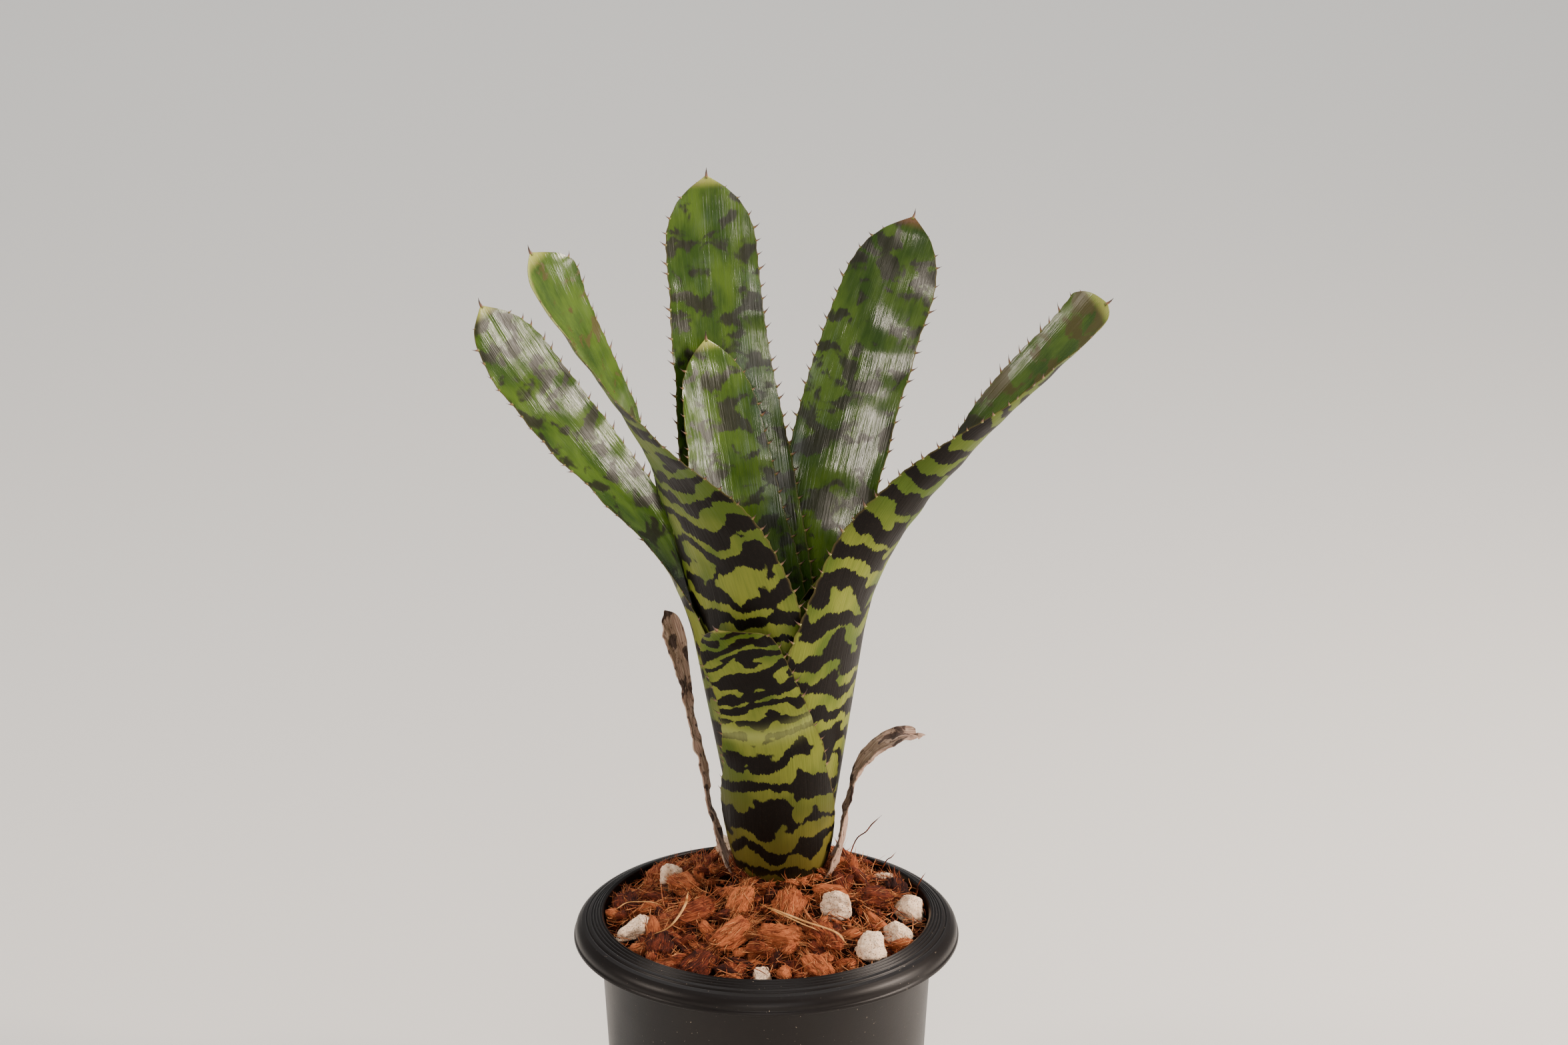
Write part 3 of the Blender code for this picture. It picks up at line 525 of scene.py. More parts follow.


# leaves: across the midrib a row is an arc P = M + c sin(a) B + c (1 - cos(a)) N, level round the plant in
# the sheath and square to the midrib in the blade; the two faces stand half a thickness to each side

# Each leaf: azimuth, sway, lean and twist in degrees, half (half its width) and curl (radius across) in mm,
# all as stops (share of the blade, value); wrap in degrees along the sheath; opens, blade, tip and opening in
# mm. uneven scales the half on the side of growing azimuth, along the whole leaf, as dusky and pace go. These
# two and collar, bleached, mild, dull, brown and paleTip are for its colours. dusky adds dark bands and
# blotches, raised where a leaf lies in shade as painted shade; collar lays a painted highlight band across
# the collar.
level, flatStop = ((0, 1), (1, 1)), ((0, 0), (1, 0))
leaves = {
    "leaf_7": dict(azimuth=((0, -4), (1, -16)), sway=((0, 0), (0.4, -14), (1, -26)), opens=46, blade=56,
                   wrap=((0, 100), (0.6, 72), (1, 46)), lean=((0, 9), (0.55, 10), (0.8, 18), (1, 50)),
                   twist=flatStop, half=((0, 16), (0.5, 13), (1, 13)), curl=((0, 36), (1, 44)), tip=14,
                   opening=16, away=0.2, pace=((0, 1), (0.56, 1), (0.62, 2.0), (1, 2.0)), seed=71,
                   dusky=((0, 0), (0.5, 0), (0.56, -0.07), (0.60, -0.03), (0.66, 0.035), (1, 0.035)),
                   paleTip=2.5, brown=0.3, collar=(0.60, 0.026, 0.5)),
    "leaf_4": dict(azimuth=((0, 78), (1, 84)), opens=84, blade=135, wrap=((0, 95), (0.6, 80), (1, 71)),
                   lean=((0, 10), (0.12, 18), (0.3, 34), (0.5, 39), (0.75, 42), (1, 39)),
                   twist=((0, 0), (0.5, 2), (0.8, 16), (1, 26)),
                   half=((0, 27), (0.2, 28), (0.4, 22), (0.7, 14), (1, 12)),
                   uneven=((0, 1), (0.2, 0.9), (0.42, 0.42), (0.62, 0.42), (0.8, 0.95), (1, 1)),
                   curl=((0, 32), (0.35, 17), (1, 22)), tip=7, cusp=0.6, opening=34, seed=44,
                   dull=0.06, mild=62, dusky=((0, 0.01), (0.4, 0.03), (0.7, 0.02), (1, -0.03))),
    "leaf_6": dict(azimuth=((0, -98), (1, -99)), opens=82, blade=123, wrap=((0, 90), (0.6, 70), (1, 46)),
                   lean=((0, 10), (0.15, 20), (0.3, 35), (0.55, 39), (0.8, 35), (1, 26)),
                   twist=((0, 0), (0.25, -8), (0.6, -26), (1, -30)),
                   half=((0, 19), (0.3, 13.5), (0.7, 13.5), (1, 13)), curl=((0, 30), (0.4, 30), (1, 60)),
                   tip=22, opening=34, seed=63, satin=True),
    "leaf_5": dict(azimuth=((0, -42), (0.3, -47), (0.6, -62), (1, -78)), opens=86, blade=145,
                   wrap=((0, 90), (0.6, 72), (1, 60)),
                   uneven=((0, 1), (0.33, 1), (0.45, 1.15), (0.6, 1.15), (0.75, 1), (1, 1)),
                   lean=((0, 10), (0.15, 17), (0.3, 25), (0.5, 30), (0.75, 29), (1, 22)),
                   twist=((0, 0), (0.4, -5), (0.65, -20), (1, -38)),
                   half=((0, 24), (0.3, 21), (0.5, 17), (0.75, 14.5), (1, 16)),
                   curl=((0, 32), (0.4, 30), (1, 28)), tip=15, opening=34, seed=55, bleachAndHighlight=(1, 26), mild=70,
                   dusky=((0, 0.0), (0.5, 0.03), (0.65, -0.02), (1, -0.08)), paleTip=5.0),
    "leaf_3": dict(azimuth=((0, 145), (1, 134)), opens=86, blade=128, wrap=((0, 90), (0.6, 72), (1, 58)),
                   lean=((0, 10), (0.3, 20), (0.6, 27), (1, 28)), twist=((0, 0), (0.3, 10), (1, 14)),
                   half=((0, 20), (0.3, 17), (0.6, 16.5), (1, 15)), curl=((0, 30), (0.4, 40), (1, 70)),
                   tip=24, opening=34, seed=32, brown=0.9, lobes=(84, 122, 0.16)),
    "leaf_1": dict(azimuth=((0, -156), (1, -162)), opens=88, blade=134, wrap=((0, 85), (0.6, 70), (1, 58)),
                   lean=((0, 10), (0.3, 17), (0.6, 12), (1, 4)), twist=((0, 0), (1, -6)),
                   half=((0, 20), (0.3, 19), (0.6, 15.5), (1, 13.5)), curl=((0, 30), (0.4, 36), (1, 70)),
                   tip=22, opening=34, seed=17),
    "leaf_2": dict(azimuth=((0, -150), (1, -142)), opens=92, blade=80, wrap=((0, 80), (0.6, 68), (1, 55)),
                   lean=((0, 10), (0.4, 13), (1, 12)), twist=((0, 0), (1, -8)),
                   half=((0, 16), (0.3, 16), (0.7, 13.5), (1, 12)), curl=((0, 28), (0.4, 28), (1, 40)),
                   tip=26, opening=30, seed=26),
}
youngLeaves = {
    "young_leaf_1": dict(azimuth=((0, 40), (1, 40)), opens=84, blade=26, wrap=((0, 75), (1, 50)),
                         lean=((0, 10), (1, 9)), twist=flatStop, half=((0, 11), (1, 8)),
                         curl=((0, 17), (1, 24)), tip=22, opening=20, seed=81),
    "young_leaf_2": dict(azimuth=((0, -70), (1, -70)), opens=64, blade=24, wrap=((0, 70), (1, 50)),
                         lean=((0, 10), (1, 8)), twist=flatStop, half=((0, 9), (1, 6)),
                         curl=((0, 13), (1, 18)), tip=18, opening=20, seed=82),
}
dryLeaves = {
    "dry_leaf_left": dict(azimuth=((0, -92), (1, -94)), sway=((0, 0), (1, 4)), lift=2.5, opens=14, blade=80,
                          wrap=((0, 22), (1, 14)), away=2.2, lean=((0, 12), (0.5, 9), (0.8, 11), (1, 16)),
                          twist=((0, 0), (0.5, -30), (1, -40)),
                          half=((0, 3.2), (0.35, 1.6), (0.7, 2.2), (0.88, 3.9), (1, 3.2)),
                          curl=((0, 12), (1, 6)), tip=5, opening=10, seed=91),
    "dry_leaf_right": dict(azimuth=((0, 84), (1, 96)), lift=2.5, opens=14, blade=52, wrap=((0, 34), (1, 20)),
                           away=2.2, lean=((0, 14), (0.35, 10), (0.55, 34), (0.75, 60), (1, 98)),
                           twist=((0, 0), (0.4, 8), (1, 10)),
                           half=((0, 6), (0.2, 4.2), (0.4, 2.6), (0.62, 4.2), (0.85, 4), (1, 2.4)),
                           curl=((0, 12), (1, 7)), tip=5, opening=10, seed=92),
}
# what each kind of leaf is made with: rows and columns of its grid, length of the drawn-out point, crumpling,
# thickness left at its margins, and the spacing and length of its spines, in mm
leafKinds = dict(full=dict(rows=190, columns=45, cusp=3.2, crumple=0, edge=0.3, spacing=4.6, spine=2.2),
                 young=dict(rows=90, columns=31, cusp=3.2, crumple=0, edge=0.3, spacing=4.4, spine=1.2),
                 dry=dict(rows=150, columns=25, cusp=1.2, crumple=0.9, edge=0.5))
leafSteps = dict(sheath=60, blade=120)  # points of the midrib
# notches and lobes of the margins and swells of the blade, and the spine that ends a leaf, in mm
leafRipple = dict(notch=0.018, notchEvery=4.6, lobeEvery=3.7, broad=0.42, ribs=0.13, lumps=0.36, margin=0.55)
tipSpine = dict(length=2.6, bend=0.25, radii=(0.42, 0.5, 0.36, 0.24, 0.13, 0.03))


def leafPath(spec, layer):
    # the midrib: straight up the tube's wall while the sheath lasts, then steps along lean and sway
    base = spec["lift"] * mm if "lift" in spec else layer * plantSize["stagger"]
    height = np.linspace(base, spec["opens"] * mm, leafSteps["sheath"])
    radius = tubeRadius(height) - layer * plantSize["pitch"] + spec.get("away", 0) * mm
    turn = np.full_like(height, spec["azimuth"][0][1])
    sheath = plantAxis + radius[:, None] * outward(turn) + (potSize["height"] + height)[:, None] * up
    t = np.linspace(0, 1, leafSteps["blade"])
    azimuth = through(t, spec["azimuth"])
    lean = np.radians(through(t, spec["lean"]))
    sway = np.radians(through(t, spec.get("sway", flatStop)))[:, None]
    rising = np.cos(sway) * up + np.sin(sway) * sideways(azimuth)
    ahead = np.sin(lean)[:, None] * outward(azimuth) + np.cos(lean)[:, None] * rising
    step = spec["blade"] * mm / (len(t) - 1)
    blade = sheath[-1] + np.vstack([np.zeros(3), np.cumsum((ahead[1:] + ahead[:-1]) / 2, 0)]) * step
    path = np.vstack([sheath, blade[1:]])
    along = np.concatenate([[0], np.cumsum(np.linalg.norm(np.diff(path, axis=0), axis=1))])
    return dict(path=path, along=along, azimuth=np.concatenate([turn, azimuth[1:]]),
                wall=np.concatenate([radius, np.full(len(t) - 1, radius[-1])]),
                opened=along[len(height) - 1], blade=spec["blade"] * mm)


def leafSheet(spec, layer, kind):
    # the middle surface, its inward direction, and the millimetres across, along and to the tip
    way, ripple = leafPath(spec, layer), leafRipple
    length = way["along"][-1]
    s = length * (1 - (1 - np.linspace(0, 1, kind["rows"])) ** 1.25)  # rows crowd together towards the tip
    pick = lambda column: np.interp(s, way["along"], column)
    middle = np.stack([pick(way["path"][:, k]) for k in range(3)], -1)
    azimuth, wall = pick(way["azimuth"]), pick(way["wall"])
    sheathShare = np.clip(s / way["opened"], 0, 1)
    bladeShare = np.clip((s - way["opened"]) / way["blade"], 0, 1)
    opened = ease((s - way["opened"]) / (spec["opening"] * mm))
    ahead = unit(np.gradient(middle, s, axis=0))
    side = sideways(azimuth)
    side = unit(side - (side * ahead).sum(-1, keepdims=True) * ahead)
    inward = unit(np.cross(ahead, side))
    inward = inward * np.sign(-(inward * outward(azimuth)).sum(-1, keepdims=True))
    twist = np.radians(through(bladeShare, spec["twist"]))[:, None]
    across = np.cos(twist) * side + np.sin(twist) * inward
    normal = np.cos(twist) * inward - np.sin(twist) * side
    blend = opened[:, None]
    normal = unit((1 - blend) * -outward(azimuth) + blend * normal)
    across = unit((1 - blend) * side + blend * across)
    wrap = np.radians(through(sheathShare, spec["wrap"]))
    left = length - s
    rounded = (1 - (1 - np.clip(left / (spec["tip"] * mm), 0, 1)) ** 2) ** 0.6
    pointed = 1 - 0.75 * np.exp(-left / (spec.get("cusp", kind["cusp"]) * mm))
    half = through(bladeShare, spec["half"]) * mm
    half = ((1 - opened) * wrap * wall + opened * half) * rounded * pointed + plantSize["leastHalf"] * pointed
    curl = (1 - opened) * wall + opened * through(bladeShare, spec["curl"]) * mm
    v = np.sin(np.linspace(-1, 1, kind["columns"]) * math.pi / 2)[None, :]  # -1 and 1 are the margins
    kept = through(s / length, spec.get("uneven", level))[:, None]
    wave = np.cos(s / (ripple["notchEvery"] * mm) * 2 * math.pi)
    notch = 1 - ripple["notch"] * np.abs(v) ** 6 * (0.5 + 0.5 * wave)[:, None]
    start, stop, deep = spec.get("lobes", (0, 1, 0))
    inLobes = ease((s / mm - start) / 4) * ease((stop - s / mm) / 4)
    lobed = 1 + deep * inLobes * (np.abs(np.sin(s / (ripple["lobeEvery"] * mm) * math.pi)) ** 0.5 - 0.55)
    a = v * notch * (half / curl)[:, None] * np.where(v > 0, kept, lobed[:, None])
    lift = (-np.sin(a)[..., None] * across[:, None] + np.cos(a)[..., None] * normal[:, None])
    sheet = (middle[:, None] + (curl[:, None] * np.sin(a))[..., None] * across[:, None]
             + (curl[:, None] * (1 - np.cos(a)))[..., None] * normal[:, None])
    acrossMm = a * curl[:, None] / mm
    alongMm = np.broadcast_to((s / mm)[:, None], acrossMm.shape)
    free = opened[:, None] * np.clip(left / (6 * mm), 0, 1)[:, None]
    place = stacked(acrossMm, alongMm, float(spec["seed"]))
    edgePlace = stacked(np.sign(v) * 9.0, alongMm * 0.11, 1.0 * spec["seed"])
    swell = (ripple["broad"] * softNoise(place * [0.10, 0.075, 1], 5, 2)
             + ripple["ribs"] * softNoise(place * [0.45, 0.03, 1], 6)
             + ripple["lumps"] * softNoise(place * [0.08, 0.15, 1], 9)
             + ripple["margin"] * np.abs(v) ** 4 * softNoise(edgePlace, 7))
    sheet = sheet + (swell * free * mm)[..., None] * lift
    if kind["crumple"]:
        wrinkle = softNoise(place * [0.5, 0.28, 1], 8, 3) * kind["crumple"] * mm
        sheet = sheet + (wrinkle * np.clip(s / (6 * mm), 0, 1)[:, None])[..., None] * lift
    return dict(sheet=tilted(sheet), lift=unit(lift), across=acrossMm, left=left / mm, v=v, s=s,
                opened=opened, length=length)


def leafBody(leaf, spec, kind):
    # the two faces of the sheet, thinner towards the margins and the tip, joined round all four sides
    v = np.broadcast_to(leaf["v"], leaf["across"].shape)
    thick = plantSize["thickness"] * (1 - (1 - kind["edge"]) * np.abs(v) ** 3)
    thick = thick * np.clip(0.35 + leaf["left"] / 8, 0, 1)[:, None]
    offset = (thick / 2)[..., None] * leaf["lift"]
    rings = np.concatenate([leaf["sheet"] + offset, (leaf["sheet"] - offset)[:, ::-1]], axis=1)
    rows, around = rings.shape[:2]
    walls = closedGrid(rows, around)[0]
    top = (rows - 1) * around
    j = np.arange(around // 2 - 1)
    foot = np.stack([j, around - 1 - j, around - 2 - j, j + 1], -1)
    head = np.stack([top + j + 1, top + around - 2 - j, top + around - 1 - j, top + j], -1)
    share = leaf["s"] / leaf["length"]
    rate = np.interp(share, *np.transpose(spec.get("pace", level)))
    paced = np.concatenate([[0], np.cumsum((rate[1:] + rate[:-1]) / 2 * np.diff(leaf["s"]) / mm)])
    both = lambda grid: np.concatenate([grid, grid[:, ::-1]], axis=1)  # the same values on both faces
    along = np.broadcast_to(paced[:, None], v.shape)
    left = np.broadcast_to(leaf["left"][:, None], v.shape)
    inner = np.concatenate([np.ones_like(v), np.zeros_like(v)], axis=1)
    side, reach = spec.get("bleachAndHighlight", (1, 0.1))
    bleachAndHighlight = ease((side * v - 0.60) / 0.38) * ease((reach - left) / 9) * 0.8
    # painted highlight: a pale band across the collar, added to the pale margin
    centre, width, strength = spec.get("collar", (0, 1, 0))
    bleachAndHighlight = bleachAndHighlight + strength * np.exp(-((share[:, None] - 0.03 * v ** 2 - centre) / width) ** 2)
    mild = ease((spec.get("mild", 0.1) - left) / 20)
    # dusky: more dark bands and blotches, partly painted shade on leaves that lie in shade
    dusky = np.interp(share, *np.transpose(spec.get("dusky", flatStop)))[:, None] + np.zeros_like(inner)
    marks = dict(leafPlace=stacked(both(leaf["across"]), both(along), spec["seed"] * 7.3),
                 leafShare=stacked(both(v), both(left), inner),
                 leafTone=stacked(spec.get("brown", 0.0), spec.get("paleTip", 4.5), dusky),
                 leafEdge=stacked(both(bleachAndHighlight), both(mild), spec.get("dull", 0.0)))
    faces = np.concatenate([walls, foot, head])
    onInner = marks["leafShare"].reshape(-1, 3)[faces, 2].mean(1) > 0.6
    finish = np.where(onInner, 2 if "spine" in kind else 0, 0)  # a dry leaf has one finish on both faces
    return turned(dict(points=rings.reshape(-1, 3), faces=[faces], marks=marks, finish=finish))


def leafSpines(leaf, kind, rng):
    # small hooked cones along both margins of the blade, leaning towards the tip, and one at the very tip
    parts = []
    s = leaf["s"] / mm
    total = leaf["length"] / mm
    start = s[np.argmax(leaf["opened"] > 0.02)] - 24
    rooted = 0.35 * mm  # how deep a spine's foot lies in the margin
    for column, inner in ((0, 3), (-1, -4)):
        at = np.arange(start, total - 2.5, kind["spacing"])
        at = np.clip(at + rng.uniform(-1.1, 1.1, len(at)), 4, total - 2)
        grab = lambda grid: np.stack([np.interp(at, s, grid[:, k]) for k in range(3)], -1)
        foot = grab(leaf["sheet"][:, column])
        beside = unit(foot - grab(leaf["sheet"][:, inner]))
        ahead = unit(grab(leaf["sheet"][np.minimum(np.arange(len(s)) + 3, len(s) - 1), column]) - foot + 1e-9)
        reach = kind["spine"] * mm * rng.uniform(0.7, 1.15, len(at)) * np.clip((at - start + 6) / 30, 0.35, 1)
        reach = reach * np.clip((total - at) / 9, 0.45, 1)
        t = np.linspace(0, 1, 5)
        heading = unit(beside + 0.28 * ahead + rng.normal(0, 0.10, (len(at), 3)))
        paths = (foot[:, None] - rooted * beside[:, None] + (reach[:, None] + rooted)[..., None]
                 * (t[:, None] * heading[:, None] + 0.35 * (t ** 2)[:, None] * ahead[:, None]))
        radii = reach[:, None] * 0.25 * np.array([1.0, 0.62, 0.36, 0.17, 0.04])[None]
        parts.append(tubes(paths, radii, 6, grab(leaf["lift"][:, column]), 0.6))
    tip = leaf["sheet"][-1].mean(0)
    ahead = unit(tip - leaf["sheet"][-6].mean(0))
    lift = leaf["lift"][-1].mean(0)
    t = np.linspace(-0.4, 1, 6)
    path = tip + tipSpine["length"] * mm * (t[:, None] * ahead + tipSpine["bend"] * (t ** 2)[:, None] * lift)
    parts.append(tubes(path[None], np.array([tipSpine["radii"]]) * mm, 8, lift[None]))
    return [turned(dict(points=points, faces=faces, finish=1, marks=dict(spineShare=stacked(share, 0, 0))))
            for points, faces, share, _ in parts]


rng = np.random.default_rng(11)
for layer, (name, spec) in enumerate({**leaves, **youngLeaves}.items()):
    young = name in youngLeaves
    kind = leafKinds["young" if young else "full"]
    leaf = leafSheet(spec, layer, kind)
    putPiece(pieceName(name, "Blade"), [leafBody(leaf, spec, kind)] + leafSpines(leaf, kind, rng),
             [leafBack, spineHorn, leafSatin if spec.get("satin") else leafFace],
             [name])
for name, spec in dryLeaves.items():
    leaf = leafSheet(spec, -1, leafKinds["dry"])
    putPiece(pieceName(name, "Husk"), [leafBody(leaf, spec, leafKinds["dry"])], [drySkin], [name])
print("leaves made")


# pot: a profile turned about the pot's axis, with fine grooves in the sloping rim, then drilled

rimLook = dict(grooves=(0.9, 1.8, 2.7, 3.6, 5.2), depth=0.46, width=0.23, steps=110)
potBuild = dict(around=180, sharpAngle=50, drillSides=32, drillDepth=12 * mm)


def wallRadius(z):
    return potSize["mouth"] + potSize["wall"] - potSize["taper"] * (potSize["height"] - z)


def innerRadius(z):
    return wallRadius(z) - potSize["wall"]


def softened(line, rounds):
    # cuts every corner of an open line at a quarter and three quarters, which rounds it
    for _ in range(rounds):
        first, second = line[:-1], line[1:]
        cut = np.stack([first * 0.75 + second * 0.25, first * 0.25 + second * 0.75], 1).reshape(-1, 2)
        line = np.vstack([line[:1], cut, line[-1:]])
    return line


def potProfile():
    # the line of the frame's pot from the middle of the floor, inside, over the rim and back underneath;
    # the rim's slope is cut by rounded grooves, z - depth exp(-(r - g)^2 / width^2)
    p = potSize
    floor = p["floorLift"] + p["wall"]
    rim = p["mouth"] + p["rimWidth"]
    top, foot = p["height"], wallRadius(0)
    shoulder, lip = top - p["rimFall"], top - p["lipDepth"]
    inside = [(p["padRadius"] - p["wall"], p["wall"]), (p["padRadius"] + 0.5 * mm, floor),
              (foot - p["footWidth"] - 3.6 * mm, floor), (foot - p["footWidth"] - 1.6 * mm, p["wall"]),
              (innerRadius(p["wall"]) - 0.6 * mm, p["wall"]), (innerRadius(3 * mm), 3 * mm),
              (innerRadius(top - 1.2 * mm), top - 1.2 * mm), (p["mouth"], top - 0.5 * mm)]
    r = np.linspace(p["mouth"] + 0.6 * mm, rim - 2.6 * mm, rimLook["steps"])
    z = np.linspace(top, shoulder + 0.4 * mm, rimLook["steps"])
    for groove in rimLook["grooves"]:
        z = z - rimLook["depth"] * mm * np.exp(-((r - p["mouth"]) / mm - groove) ** 2 / rimLook["width"] ** 2)
    over = [(rim - 1.2 * mm, shoulder - 0.8 * mm), (rim - 0.5 * mm, shoulder - 2.2 * mm),
            (rim - 0.5 * mm, lip + 1.5 * mm), (rim, lip + 1.1 * mm), (rim, lip),
            (rim - p["wall"] - 0.3 * mm, lip), (rim - p["wall"] - 0.5 * mm, shoulder - 2.6 * mm),
            (rim - p["wall"] - 1.8 * mm, shoulder - 1.3 * mm),
            (wallRadius(shoulder) + 0.6 * mm, shoulder + 0.6 * mm),
            (wallRadius(shoulder - mm), shoulder - 0.4 * mm)]
    outside = [(wallRadius(1.2 * mm), 1.2 * mm), (foot - 0.9 * mm, 0), (foot - 0.9 * mm - p["footWidth"], 0),
               (foot - p["footWidth"] - 4.6 * mm, p["floorLift"]), (p["padRadius"] + 2 * mm, p["floorLift"]),
               (p["padRadius"], 0), (2 * mm, 0)]
    line = np.array([(2 * mm, p["wall"])] + inside)
    return np.vstack([softened(line, 2), np.stack([r, z], -1),
                      softened(np.array([(r[-1], z[-1])] + over), 2)[1:], softened(np.array(outside), 2)])


def makePot():
    # the profile turned round the axis, then eight drain holes cut by one mesh of cylinders
    profile = potProfile()
    turn = np.arange(potBuild["around"]) * 2 * math.pi / potBuild["around"]
    rings = stacked(profile[:, :1] * np.cos(turn), profile[:, :1] * np.sin(turn), profile[:, 1:])
    points = np.concatenate([rings.reshape(-1, 3), [[0, 0, potSize["wall"]]], [[0, 0, 0.0]]])
    part = turned(dict(points=points, faces=closedGrid(len(profile), len(turn))))
    pot = putPiece("potShell", [part], [potPlastic], ["pot"], potBuild["sharpAngle"])
    drill = bmesh.new()
    ring = (potSize["padRadius"] + wallRadius(0) - potSize["footWidth"]) / 2
    for i in range(potSize["drainCount"]):
        made = bmesh.ops.create_cone(drill, cap_ends=True, segments=potBuild["drillSides"],
                                     radius1=potSize["drainRadius"], radius2=potSize["drainRadius"],
                                     depth=potBuild["drillDepth"])
        a = 2 * math.pi * i / potSize["drainCount"]
        bmesh.ops.translate(drill, verts=made["verts"],
                            vec=(ring * math.cos(a), ring * math.sin(a), potSize["floorLift"]))
    drillMesh = bpy.data.meshes.new("drainDrill")
    drill.to_mesh(drillMesh)
    drill.free()
    cutter = bpy.data.objects.new("drainDrill", drillMesh)
    bpy.context.scene.collection.objects.link(cutter)
    cut = pot.modifiers.new("drainHoles", "BOOLEAN")
    cut.operation, cut.solver, cut.object = "DIFFERENCE", "EXACT", cutter
    graph = bpy.context.evaluated_depsgraph_get()
    drilled = bpy.data.meshes.new_from_object(pot.evaluated_get(graph))
    pot.modifiers.clear()
    pot.data = drilled
    bpy.data.objects.remove(cutter)


makePot()
print("pot made")


# medium: a rough bed of husk dust, then chips, crumbs and fibres laid on its slope

def bedRing(share):
    # a circle on the medium's top, from the plant (0) to the wall (1): centre x, centre y, radius, height
    share = np.asarray(share, float)
    wallZ = potSize["height"] + bedSize["atWall"]
    bore = tubeRadius(bedSize["atPlant"]) + plantSize["thickness"] / 2 + 2 * bedSize["fit"]
    radius = bore * (1 - share) + (innerRadius(wallZ) - bedSize["fit"]) * share
    z = wallZ + (bedSize["atPlant"] - bedSize["atWall"]) * (1 - ease(share * 0.92))
    return plantSize["x"] * (1 - share), plantSize["y"] * (1 - share), radius, z


def bedPoint(azimuth, share):
    x, y, radius, z = bedRing(share)
    return stacked(x, y, z) + outward(azimuth) * np.asarray(radius)[..., None]


def lyingFrames(azimuth, share, yaw):
    # where pieces lie on the medium: a point, and the directions ahead, beside and up of each
    high, at, low = (bedPoint(azimuth, share + n) for n in (-0.02, 0, 0.02))
    along = unit(low - high)
    cross = unit(np.cross(np.broadcast_to(up, along.shape), along))
    rise = np.cross(along, cross)
    spin = np.radians(yaw)[..., None]
    ahead = along * np.cos(spin) + cross * np.sin(spin)
    return at, ahead, np.cross(rise, ahead), rise


bedBuild = dict(around=200, rows=60, coarse=1.4, fine=0.4, socketDepth=24 * mm, socketRise=4 * mm,
                socketRadius=3.0 * mm, base=4.4 * mm, baseRadii=(30 * mm, 14 * mm))


def makeBed():
    # rings from the stem's socket up to the plant, down a slope roughened by noise, to the wall and floor
    turn = np.arange(bedBuild["around"]) * 2 * math.pi / bedBuild["around"]
    ring = lambda x, y, radius, z: stacked(x + radius * np.cos(turn), y + radius * np.sin(turn), z)
    share = np.linspace(0, 1, bedBuild["rows"])
    top = ring(*(column[:, None] for column in bedRing(share)))
    rough = (softNoise(top / mm * 0.22, 31, 4) * bedBuild["coarse"]
             + softNoise(top / mm * 0.9, 32, 2) * bedBuild["fine"])
    top[..., 2] += rough * mm * np.clip(np.minimum(share * 8, (1 - share) * 12), 0, 1)[:, None]
    x, y, _ = plantAxis
    deep, base = potSize["height"] + bedSize["atPlant"] - bedBuild["socketDepth"], bedBuild["base"]
    bore = tubeRadius(0) + plantSize["thickness"] / 2 + 2 * bedSize["fit"]
    socket = [ring(x, y, radius, z) for radius, z in ((bedBuild["socketRadius"], deep),
              (bore, deep + bedBuild["socketRise"]), (bore, potSize["height"]))]
    wall = [ring(0, 0, radius, z) for radius, z in ((innerRadius(6 * mm) - bedSize["fit"], 6 * mm),
            *((radius, base) for radius in bedBuild["baseRadii"]))]
    rings = np.stack(socket + list(top) + wall)
    points = np.concatenate([rings.reshape(-1, 3), [[x, y, deep]], [[0, 0, base]]])
    part = turned(dict(points=points, faces=closedGrid(len(rings), len(turn))))
    putPiece("huskBed", [part], [huskDustAndShade], ["medium_bed"])


# each stone: azimuth, share of the way to the wall, length, width, height, yaw, and how deep it is pressed in
stones = {
    "stone_1": (-110, 0.56, 8.5, 7.0, 10.0, 20, 2.0), "stone_2": (-146, 0.34, 9.0, 7.0, 7.0, 90, -1.6),
    "stone_3": (-72, 0.80, 15.0, 8.0, 6.5, 15, 0.0), "stone_4": (46, 0.36, 10.0, 8.5, 9.5, 70, 2.0),
    "stone_5": (88, 0.81, 10.0, 9.0, 9.0, 35, 1.2), "stone_6": (46, 0.82, 13.0, 10.5, 8.5, -30, 0.5),
    "stone_7": (67, 0.80, 9.0, 8.0, 7.0, 10, 1.6), "stone_8": (-2, 0.86, 9.0, 6.5, 6.0, 5, 1.8),
    "stone_9": (124, 0.80, 8.0, 5.5, 5.0, 40, 0.0),
}
# each chip: azimuth, share, length along the fibres, width, yaw
chips = {
    "chip_01": (-30, 0.28, 13.0, 7.5, 10), "chip_02": (8, 0.26, 14.0, 8.0, -8),
    "chip_03": (-88, 0.42, 12.0, 7.0, 100), "chip_04": (-52, 0.50, 12.0, 8.0, 150),
    "chip_05": (-22, 0.56, 13.0, 7.5, -25), "chip_06": (4, 0.55, 12.5, 8.0, 80),
    "chip_07": (26, 0.58, 13.0, 7.0, 15), "chip_08": (80, 0.50, 12.0, 7.5, 60),
    "chip_09": (104, 0.72, 12.0, 7.0, -70), "chip_10": (-94, 0.84, 11.0, 7.0, 75),
    "chip_11": (-50, 0.82, 12.0, 7.5, 40), "chip_12": (-28, 0.86, 12.5, 8.0, -10),
    "chip_13": (20, 0.86, 12.0, 7.5, 20), "chip_14": (-128, 0.80, 11.0, 6.5, 80),
    "chip_15": (-160, 0.62, 11.0, 6.5, 95), "chip_16": (174, 0.50, 12.0, 6.5, 88),
    "chip_17": (146, 0.62, 11.0, 6.5, 86),
}


